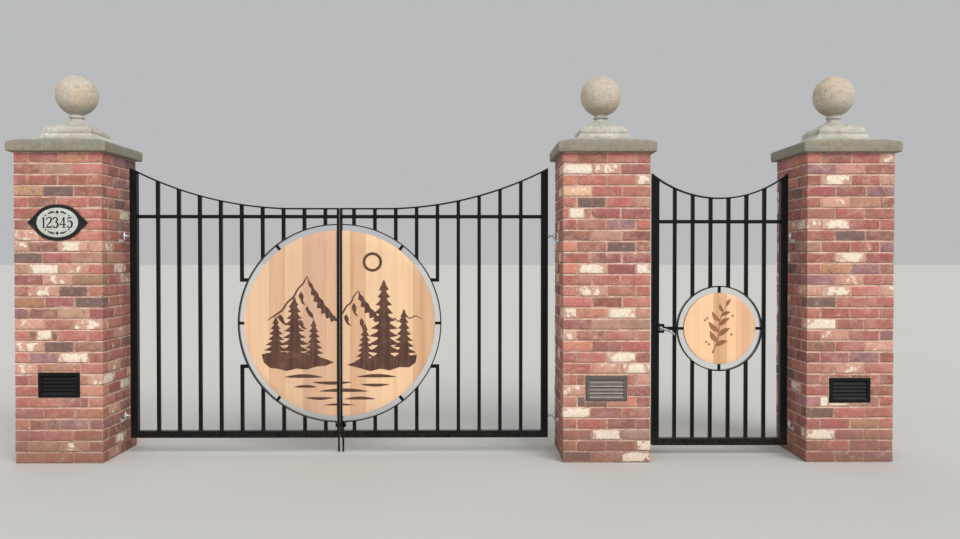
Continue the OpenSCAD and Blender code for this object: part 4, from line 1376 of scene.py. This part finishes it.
def board(pile, cx, cy, cz, radius, x0, x1, tone, streak, shift):
    """One upright board of a disc from x0 to x1, measured from the disc's centre; it ends on the disc's rim."""
    a0, a1 = math.asin(max(-1, x0 / radius)), math.asin(min(1, x1 / radius))
    n = max(5, int(math.degrees(a1 - a0) / 1.6))
    xs = radius * np.sin(np.linspace(a0, a1, n + 1))
    groove_lo, groove_hi = x0 > -radius + 1, x1 < radius - 1
    pre = [x0 + 0.6, x0 + 1.8] if groove_lo else []
    post = [x1 - 1.8, x1 - 0.6] if groove_hi else []
    x0, x1 = (x0 + 0.1 if groove_lo else max(x0, -radius + 0.05)), (x1 - 0.1 if groove_hi else min(x1, radius - 0.05))
    xs[0], xs[-1] = x0, x1
    near = (4 if groove_lo else 0.3, 4 if groove_hi else 0.3)
    xs = np.unique(np.concatenate([[xs[0]], pre, xs[1:-1][(xs[1:-1] > x0 + near[0]) & (xs[1:-1] < x1 - near[1])], post, [xs[-1]]]))
    nx, nz = len(xs) - 1, 18
    ids, quads = box_grid(nx, 2, nz)
    x = xs[ids[:, 0]]
    top = np.sqrt(np.maximum(radius**2 - x**2, 0))
    k = ids[:, 2]
    inner = np.clip((k - 2) / (nz - 4.0), 0, 1)
    lo_e = np.select([k == 0, k == 1], [0.0, 0.9], 2.8)
    hi_e = np.select([k == nz, k == nz - 1], [0.0, 0.9], 2.8)
    lo_e, hi_e = np.minimum(lo_e, top * 0.9), np.minimum(hi_e, top * 0.9)
    z = np.where(k <= 1, -top + lo_e, np.where(k >= nz - 1, top - hi_e, (-top + lo_e) * (1 - inner) + (top - hi_e) * inner))
    ease = np.select([(k == 0) | (k == nz), (k == 1) | (k == nz - 1)], [2.6, 0.8], 0.0)
    gap = np.minimum(np.abs(x - x0) if groove_lo else 99, np.abs(x1 - x) if groove_hi else 99)
    ease = np.maximum(ease, np.where(gap < 0.1, 1.1, np.where(gap < 0.7, 0.35, 0.0)))
    if not groove_hi:
        ease = np.where(x > radius - 0.06, 2.6, ease)
    if not groove_lo:
        ease = np.where(x < -radius + 0.06, 2.6, ease)
    j = ids[:, 1]
    half = DISC_T / 2
    y = np.where(j == 0, -half + ease, np.where(j == 2, half - ease, 0.0))
    # a board is never quite flat
    cup = 0.25 * np.sin((x - x0) / max(x1 - x0, 1) * math.pi) * (1 if shift[0] > 0 else -1)
    y = y + np.where(j == 0, cup, 0)
    pile.add(
        np.stack([cx + x, cy + y, cz + z], axis=1), quads,
        tone=np.array(srgb(*tone)[:3]), streak=np.array(srgb(*streak)[:3]), shift=np.asarray(shift, float),
    )


def disc_boards(name, body, node, cx, cy, cz, radius, start, boards, seed):
    """boards is a list of (right edge, kind); the first one begins at start."""
    r = np.random.default_rng(seed)
    pile = Pile()
    a = start
    for b, kind in boards:
        tone, streak = WOODS[kind]
        gain = r.uniform(0.985, 1.015)
        board(pile, cx, cy, cz, radius, a, b, np.array(tone) * gain, np.array(streak) * gain, r.uniform(-3, 3, 3))
        a = b
    pile.make(name, body, WOOD, "wood", [node], smooth=40)


RC = DISC_R
disc_boards(
    "left_medallion_boards", "left_leaf", "left_half_disc", MEET_X - STRIP, 0.0, DISC_Z, RC, -RC,
    [(-488, "straw"), (-376, "rose"), (-246, "straw"), (-84, "dusk"), (0, "rose")], 5,
)
disc_boards(
    "right_medallion_boards", "right_leaf", "right_half_disc", MEET_X + STRIP, 0.0, DISC_Z, RC, 0.0,
    [(58, "straw"), (168, "amber"), (276, "pale"), (384, "pale"), (510, "pale"), (RC, "amber")], 8,
)
disc_boards(
    "side_medallion_boards", "side_leaf", "side_disc", SIDE_X, SIDE_Y, SIDE_Z, SIDE_R, -SIDE_R,
    [(-150, "glow"), (-43, "glow"), (50, "tawny"), (121, "glow"), (205, "pink"), (SIDE_R, "honey")], 9,
)


# ---------------------------------------------------------------- figures on the medallions
def stroke(points, widths, steps=6):
    """An outline round a curved stroke of varying width."""
    pts, widths = np.array(points, float), np.array(widths, float)
    t = np.linspace(0, 1, len(pts))
    tt = np.linspace(0, 1, steps * (len(pts) - 1) + 1)
    line = np.stack([smooth_line(t, pts[:, a], tt) for a in (0, 1)], axis=1)
    w = np.interp(tt, t, widths)
    d = np.gradient(line, axis=0)
    d /= np.linalg.norm(d, axis=1, keepdims=True)
    side = np.stack([-d[:, 1], d[:, 0]], axis=1) * w[:, None] / 2
    return np.vstack([line + side, (line - side)[::-1]])


def pine(x, base, top, half, tiers, seed):
    """A conifer's outline: drooping boughs on both sides of a short trunk."""
    r = np.random.default_rng(seed)
    h = (top - base) / tiers
    left, right = [], []
    for s, out in ((-1, left), (1, right)):
        for i in range(tiers):
            share = 1 - (i / tiers) ** 1.15
            w = half * (0.16 + 0.84 * share) * r.uniform(0.88, 1.06)
            z = base + i * h
            out.append((x + s * w * 0.98, z + h * r.uniform(-0.10, 0.06)))
            out.append((x + s * w * 0.72, z + h * 0.26))
            out.append((x + s * w * 0.44, z + h * r.uniform(0.52, 0.66)))
            nxt = half * (0.16 + 0.84 * (1 - ((i + 1) / tiers) ** 1.15))
            out.append((x + s * min(nxt * 0.55, w * 0.36), z + h * 0.84))
    trunk = [(x + half * 0.09, base + h * 0.02), (x + half * 0.09, base - h * 0.42), (x - half * 0.09, base - h * 0.42), (x - half * 0.09, base + h * 0.02)]
    return np.array(right + [(x + 1, top + h * 0.25), (x - 1, top + h * 0.25)] + left[::-1] + trunk[::-1])


def ripple(x0, x1, z, thick, bow):
    """A long lens, as a line of still water."""
    t = np.linspace(0, 1, 17)
    xs = x0 + (x1 - x0) * t
    zs = z + bow * np.sin(t * math.pi)
    w = thick * np.sin(t * math.pi) ** 0.8
    up = np.stack([xs, zs + w * 0.5], axis=1)
    dn = np.stack([xs, zs - w * 0.5], axis=1)[::-1]
    return np.vstack([up, dn[1:-1]])


def clipped(outline, side, limit):
    """The part of an outline on one side of an upright line: side 1 keeps x above the limit."""
    pts = [tuple(p) for p in outline]
    out = []
    for i, p in enumerate(pts):
        q = pts[(i + 1) % len(pts)]
        a, b = side * (p[0] - limit) >= 0, side * (q[0] - limit) >= 0
        if a:
            out.append(p)
        if a != b:
            t = (limit - p[0]) / (q[0] - p[0])
            out.append((limit, p[1] + t * (q[1] - p[1])))
    return np.array(out) if len(out) >= 3 else None


def big_figures():
    """Mountains, pines and a lake, from the middle of the medallion."""
    peak_a = np.array([
        (-232, 338), (-214, 300), (-196, 282), (-182, 246), (-158, 222), (-146, 188), (-120, 164), (-104, 128), (-76, 104), (-52, 66), (-28, 44), (-8, 12),
        (-40, 18), (-62, 8), (-70, 40), (-98, 34), (-104, 72), (-134, 68), (-132, 108), (-164, 108), (-158, 150), (-188, 156), (-182, 196), (-206, 206), (-202, 248), (-222, 268),
    ], float)
    ridge_a = stroke([(-232, 338), (-262, 286), (-300, 244), (-330, 190), (-376, 148), (-410, 96), (-462, 58), (-520, 20)], [7, 11, 12, 14, 13, 14, 12, 4])
    scree_a = [
        np.array([(-276, 232), (-258, 196), (-262, 160), (-244, 128), (-270, 142), (-284, 176), (-296, 196)], float),
        np.array([(-342, 150), (-320, 118), (-318, 88), (-292, 58), (-326, 70), (-346, 100), (-364, 120)], float),
        np.array([(-232, 128), (-216, 92), (-190, 66), (-186, 30), (-214, 48), (-236, 82), (-246, 104)], float),
        np.array([(-428, 66), (-404, 40), (-398, 12), (-372, -12), (-408, -4), (-432, 24), (-450, 42)], float),
        np.array([(-282, 30), (-262, 6), (-258, -22), (-232, -44), (-268, -38), (-290, -12), (-300, 8)], float),
    ]
    peak_b = np.array([
        (138, 236), (152, 208), (172, 190), (184, 160), (208, 140), (222, 108), (250, 88), (266, 58), (296, 38), (318, 10), (346, -8),
        (312, -6), (290, -18), (282, 12), (252, 6), (246, 42), (214, 36), (212, 76), (180, 72), (180, 114), (152, 118), (156, 158), (134, 170), (138, 204),
    ], float)
    ridge_b = stroke([(138, 236), (104, 196), (84, 152), (48, 118), (20, 72), (-14, 40), (-34, 22)], [6, 10, 11, 12, 12, 9, 3])
    scree_b = [
        np.array([(104, 148), (122, 112), (116, 78), (136, 46), (108, 60), (92, 94), (86, 120)], float),
        np.array([(48, 66), (66, 36), (64, 6), (88, -22), (54, -8), (36, 24), (32, 46)], float),
        np.array([(158, 38), (176, 10), (172, -20), (194, -46), (162, -34), (146, -6), (144, 18)], float),
    ]
    far = stroke([(346, -8), (392, 34), (424, 14), (470, 60), (500, 36), (548, 52), (588, 30)], [6, 9, 8, 10, 8, 8, 3])
    turn = np.linspace(0, 2 * math.pi, 49)[:-1]
    sun = np.stack([236 + 70 * np.cos(turn), 440 + 70 * np.sin(turn)], axis=1)
    sun_in = np.stack([236 + 50 * np.cos(turn), 440 + 50 * np.sin(turn)], axis=1)
    shore_l = np.array([
        (-560, -226), (-520, -212), (-460, -218), (-400, -204), (-330, -220), (-260, -212), (-200, -232), (-140, -244), (-88, -262), (-40, -280),
        (-100, -306), (-170, -312), (-240, -334), (-310, -326), (-380, -344), (-440, -328), (-500, -322), (-544, -284),
    ], float)
    shore_r = np.array([
        (52, -300), (110, -278), (180, -262), (250, -246), (310, -254), (380, -238), (450, -242), (510, -232), (556, -226),
        (546, -282), (500, -318), (430, -316), (360, -340), (290, -328), (220, -346), (140, -322),
    ], float)
    water = [
        ripple(-400, -120, -388, 26, 8), ripple(-200, 90, -424, 24, -7), ripple(120, 410, -386, 26, 8), ripple(150, 360, -440, 22, -6),
        ripple(-330, -160, -460, 20, 6), ripple(-150, 210, -490, 26, 8), ripple(-250, -40, -536, 20, -6), ripple(30, 260, -546, 22, 7),
        ripple(-120, 110, -590, 16, 5),
    ]
    layers = [
        [peak_a, peak_b, far, shore_l, shore_r, *scree_a[:2], *scree_b[:2], *water],
        [ridge_a, ridge_b, *scree_a[2:], *scree_b[2:]],
        [pine(-458, -232, 40, 92, 7, 1), pine(318, -262, 300, 142, 10, 2), pine(-186, -256, 20, 78, 7, 6)],
        [pine(-324, -242, 176, 122, 9, 3), pine(462, -252, 92, 92, 8, 4), pine(182, -276, -10, 78, 7, 7)],
    ]
    return layers, [sun, sun_in]


def build_big_figures():
    layers, sun = big_figures()
    y = -DISC_T / 2
    for name, side in (("left", -1), ("right", 1)):
        pile = Pile()
        for depth, layer in enumerate(layers):
            for shape in layer:
                part = clipped(shape, side, side * (STRIP + 2.0))
                if part is None or np.ptp(part[:, 0]) < 3:
                    continue
                part = part + np.array([MEET_X, DISC_Z])
                into(pile, flat_plate([part], y + 0.6, y - 0.9 - 0.12 * depth, 0.3))
        if side > 0:
            into(pile, flat_plate([s + np.array([MEET_X, DISC_Z]) for s in sun], y + 0.6, y - 0.9, 0.3))
        pile.make(name + "_medallion_figures", name + "_leaf", STAIN, "wood", smooth=40)


def leaf_shape(x, z, length, width, angle):
    t = np.linspace(0, 1, 13)
    w = width * np.sin(t**0.8 * math.pi) * 0.5
    bow = 0.07 * length * np.sin(t * math.pi)
    up = np.stack([t * length, w + bow], axis=1)
    dn = np.stack([t * length, -w + bow], axis=1)[::-1][1:-1]
    p = np.vstack([up, dn])
    a = math.radians(angle)
    return np.stack([x + p[:, 0] * math.cos(a) - p[:, 1] * math.sin(a), z + p[:, 0] * math.sin(a) + p[:, 1] * math.cos(a)], axis=1)


def build_small_figures():
    """A sprig with leaves and berries."""
    y = SIDE_Y - DISC_T / 2
    centre = np.array([SIDE_X, SIDE_Z])
    pile = Pile()
    stem_pts = [(-52, -176), (-30, -128), (-14, -80), (-6, -30), (-4, 20), (4, 70), (22, 118), (50, 166)]
    shapes = [[stroke(stem_pts, [11, 9, 8, 7, 6, 5.5, 4.5, 2.5])]]
    leaves = []
    for t, side, length, width in (
        (0.16, 1, 92, 34), (0.24, -1, 98, 36), (0.36, 1, 104, 38), (0.45, -1, 104, 38), (0.57, 1, 96, 35), (0.66, -1, 90, 33), (0.78, 1, 74, 28), (0.86, -1, 66, 25),
    ):
        pts = np.array(stem_pts, float)
        tt = np.linspace(0, 1, len(pts))
        here = np.array([smooth_line(tt, pts[:, a], np.array([t]))[0] for a in (0, 1)])
        ahead = np.array([smooth_line(tt, pts[:, a], np.array([t + 0.02]))[0] for a in (0, 1)])
        heading = math.degrees(math.atan2(ahead[1] - here[1], ahead[0] - here[0]))
        leaves.append(leaf_shape(here[0], here[1], length, width, heading - side * 48))
    leaves.append(leaf_shape(48, 160, 62, 24, 58))
    shapes.append(leaves)
    berries = []
    for bx, bz in ((-96, -96), (-76, -112), (84, -42), (-88, 74), (-104, 60), (93, 90)):
        a = np.linspace(0, 2 * math.pi, 19)[:-1]
        berries.append(np.stack([bx + 8 * np.cos(a), bz + 8 * np.sin(a)], axis=1))
    shapes.append(berries)
    for depth, layer in enumerate(shapes):
        for s in layer:
            into(pile, flat_plate([s + centre], y + 0.6, y - 0.9 - 0.12 * depth, 0.3))
    pile.make("side_medallion_figures", "side_leaf", LIGHT_STAIN, "wood", smooth=40)


build_big_figures()
build_small_figures()

# ---------------------------------------------------------------- ironwork from the CAD
IRON_NODES = [
    f"{s}_{part}"
    for s in ("left", "right")
    for part in ("stiles", "rails", "top_rail", "bars", "ring", "ring_spokes")
] + ["side_stiles", "side_rails", "side_top_rail", "side_bars", "side_ring", "side_ring_spokes"]


def iron_piece(node):
    o = NODES[node]
    o.data.materials.clear()
    o.data.materials.append(RING_IRON if node.endswith("_ring") else IRON)
    weld = o.modifiers.new("weld", "WELD")
    weld.merge_threshold = 0.00002
    bevel = o.modifiers.new("bevel", "BEVEL")
    bevel.limit_method = "ANGLE"
    bevel.angle_limit = math.radians(40)
    bevel.width = 0.0022 if "stiles" in node or "rails" in node or "bars" in node else 0.0012
    bevel.segments = 2
    bevel.harden_normals = True


for node in IRON_NODES:
    iron_piece(node)


# ---------------------------------------------------------------- weld beads
def bead(pile, path, a, b, r=3.0, closed=False):
    """A run of weld along a path; a and b are the two directions at right angles to it at each point."""
    path, a, b = (np.asarray(q, float) for q in (path, a, b))
    n, m = len(path), 7
    phi = np.arange(m) * 2 * math.pi / m
    size = r * (0.92 + 0.20 * lumps(path, 4.5, 21) + 0.12 * lumps(path, 17, 22))
    if not closed:
        size[[0, -1]] *= 0.45
    ring = a[:, None, :] * np.cos(phi)[None, :, None] + b[:, None, :] * np.sin(phi)[None, :, None]
    v = (path[:, None, :] + ring * size[:, None, None]).reshape(-1, 3)
    if np.dot(np.cross(a[0], b[0]), path[1] - path[0]) < 0:
        v = v.reshape(n, m, 3)[:, ::-1].reshape(-1, 3)
    f = strip_faces(n, m)
    if closed:
        f += [((n - 1) * m + i, (n - 1) * m + (i + 1) % m, (i + 1) % m, i) for i in range(m)]
    else:
        f += [tuple(range(m))[::-1], tuple((n - 1) * m + i for i in range(m))]
    pile.add(v, f)


def bead_round(pile, x, y, height, up, half=12.5):
    """Weld all round a square bar where it meets a surface; height(x) is the surface, and up is 1 above it."""
    out = []
    for q in range(4):
        t = np.linspace(-1, 1, 8)[:-1]
        side = np.stack([np.full(7, 1.0), t], axis=1)
        c, s = math.cos(q * math.pi / 2), math.sin(q * math.pi / 2)
        out.append(side @ np.array([[c, s], [-s, c]]))
    flat = np.vstack(out)
    flat = flat / np.maximum(1.0, (np.abs(flat[:, 0]) ** 12 + np.abs(flat[:, 1]) ** 12) ** (1 / 12))[:, None]
    outward = flat / np.linalg.norm(flat, axis=1, keepdims=True)
    px, py = x + flat[:, 0] * (half + 0.7), y + flat[:, 1] * (half + 0.7)
    pz = np.array([height(v) for v in px]) + up * 0.6
    path = np.stack([px, py, pz], axis=1)
    a = np.hstack([outward, np.zeros((len(flat), 1))])
    b = np.tile([0.0, 0.0, 1.0], (len(flat), 1))
    bead(pile, path, a, b, 3.1, closed=True)


def bead_line(pile, start, end, a, b, r=2.8):
    n = max(5, int(np.linalg.norm(np.subtract(end, start)) / 3.6))
    t = np.linspace(0, 1, n)[:, None]
    path = np.asarray(start, float) * (1 - t) + np.asarray(end, float) * t
    bead(pile, path, np.tile(a, (n, 1)), np.tile(b, (n, 1)), r)


def cross_beads(pile, x, y, z0, z1, half=12.5):
    """Welds beside a bar that runs into a rail of its own width, from z0 below the rail to z1 above."""
    for z, up in ((z0, -1), (z1, 1)):
        for sx in (-1, 1):
            at = (x + sx * (half + 0.5), z + up * 0.5)
            bead_line(pile, (at[0], y - 10.5, at[1]), (at[0], y + 10.5, at[1]), (1.0, 0, 0), (0, 0, 1.0))


def build_leaf_beads(side, s):
    pile = Pile()
    rail_top, mid_z, top_z, level, sweep, half = 167.0, 1707.0, 1764.0, 320.0, 2560.0, 12.5
    ring = 713.0

    def top(x):
        u = max(abs(x - MEET_X) - level, 0.0)
        return top_z + sweep - math.sqrt((sweep + 5.0) ** 2 - u * u)

    for k in range(9):
        u = 103.0 + 150.0 * k
        x = MEET_X + s * u
        bead_round(pile, x, 0.0, lambda v: rail_top, 1)
        cross_beads(pile, x, 0.0, mid_z - half, mid_z + half)
        bead_round(pile, x, 0.0, top, -1)
        if u + half < 18.0 + ring - 60:
            for up in (-1, 1):
                def edge(v, up=up):
                    d = abs(v - MEET_X) - 18.0
                    return DISC_Z + up * math.sqrt(ring**2 - d * d)

                bead_round(pile, x, 0.0, edge, up)
    # rails to stiles
    for u, z in ((18.0, rail_top), (1448.0, rail_top)):
        into_leaf = 1 if u < 100 else -1
        x = MEET_X + s * (u + into_leaf * 0.6)
        bead_line(pile, (x, -23.0, z + 0.6), (x, 23.0, z + 0.6), (1.0, 0, 0), (0, 0, 1.0))
        for up in (-1, 1):
            zz = mid_z + up * (half + 0.5)
            bead_line(pile, (x, -10.5, zz), (x, 10.5, zz), (1.0, 0, 0), (0, 0, 1.0))
    pile.make(side + "_leaf_welds", side + "_leaf", WELD, "black_iron", smooth=60)


def build_side_beads():
    pile = Pile()
    y, rail_top, mid_z, top_z, sweep, half, ring = SIDE_Y, 122.0, 1669.0, 1836.0, 770.0, 12.5, 305.0

    def top(x):
        return top_z + sweep - math.sqrt((sweep + 5.0) ** 2 - (x - SIDE_X) ** 2)

    for k in np.arange(-2.5, 3, 1):
        x = SIDE_X + k * 128.0
        bead_round(pile, x, y, lambda v: rail_top, 1)
        cross_beads(pile, x, y, mid_z - half, mid_z + half)
        bead_round(pile, x, y, top, -1)
        if abs(k) < 2:
            for up in (-1, 1):
                bead_round(pile, x, y, lambda v, up=up: SIDE_Z + up * math.sqrt(ring**2 - (v - SIDE_X) ** 2), up)
    for sx in (-1, 1):
        x = SIDE_X + sx * (434.0 - 0.6)
        bead_line(pile, (x, y - 23.0, rail_top + 0.6), (x, y + 23.0, rail_top + 0.6), (1.0, 0, 0), (0, 0, 1.0))
        for up in (-1, 1):
            zz = mid_z + up * (half + 0.5)
            bead_line(pile, (x, y - 10.5, zz), (x, y + 10.5, zz), (1.0, 0, 0), (0, 0, 1.0))
    pile.make("side_leaf_welds", "side_leaf", WELD, "black_iron", smooth=60)


build_leaf_beads("left", -1)
build_leaf_beads("right", 1)
build_side_beads()


# ---------------------------------------------------------------- stage, light and camera
def build_stage():
    m = Mat("stage_floor", Specular_IOR_Level=0.1)
    m.colour(m.mix(m.noise(m.coord(), 0.6, 2), srgb(204, 203, 200), srgb(208, 207, 204)))
    m.bsdf.inputs["Roughness"].default_value = 0.9
    me = bpy.data.meshes.new("floor")
    s = 160.0
    me.from_pydata([(-s, -s, 0), (s, -s, 0), (s, s, 0), (-s, s, 0)], [], [(0, 1, 2, 3)])
    me.materials.append(m.m)
    o = bpy.data.objects.new("floor", me)
    bpy.context.scene.collection.objects.link(o)


build_stage()


def sun(name, towards, strength, spread, tint=(1, 1, 1)):
    """A broad, even light; towards is the direction in which it shines."""
    d = bpy.data.lights.new(name, "SUN")
    d.energy = strength
    d.angle = math.radians(spread)
    d.color = tint
    o = bpy.data.objects.new(name, d)
    bpy.context.scene.collection.objects.link(o)
    o.rotation_euler = Vector(towards).to_track_quat("-Z", "Y").to_euler()


sun("key", (-0.42, 0.74, -0.62), 1.98, 40, (1.0, 0.98, 0.95))
sun("fill", (0.34, 0.82, -0.46), 0.42, 60, (0.96, 0.98, 1.0))
sun("back", (0.2, -0.80, -0.60), 0.35, 60)

world = bpy.data.worlds.new("studio")
world.use_nodes = True
world.node_tree.nodes["Background"].inputs["Color"].default_value = (0.93, 0.95, 0.97, 1)
world.node_tree.nodes["Background"].inputs["Strength"].default_value = 0.52
scene = bpy.context.scene
scene.world = world
scene.view_settings.view_transform = "Standard"
scene.view_settings.look = "None"

cam_data = bpy.data.cameras.new("camera")
cam_data.sensor_width = 36.0
cam_data.lens = 32.456
cam_data.clip_end = 200
cam = bpy.data.objects.new("camera", cam_data)
scene.collection.objects.link(cam)
cam.location = (-0.9131, -6.2383, 1.4142)
yaw, pitch = 0.0071, -0.0140
aim = Vector((math.sin(yaw) * math.cos(pitch), math.cos(yaw) * math.cos(pitch), math.sin(pitch)))
cam.rotation_euler = aim.to_track_quat("-Z", "Y").to_euler()
scene.camera = cam
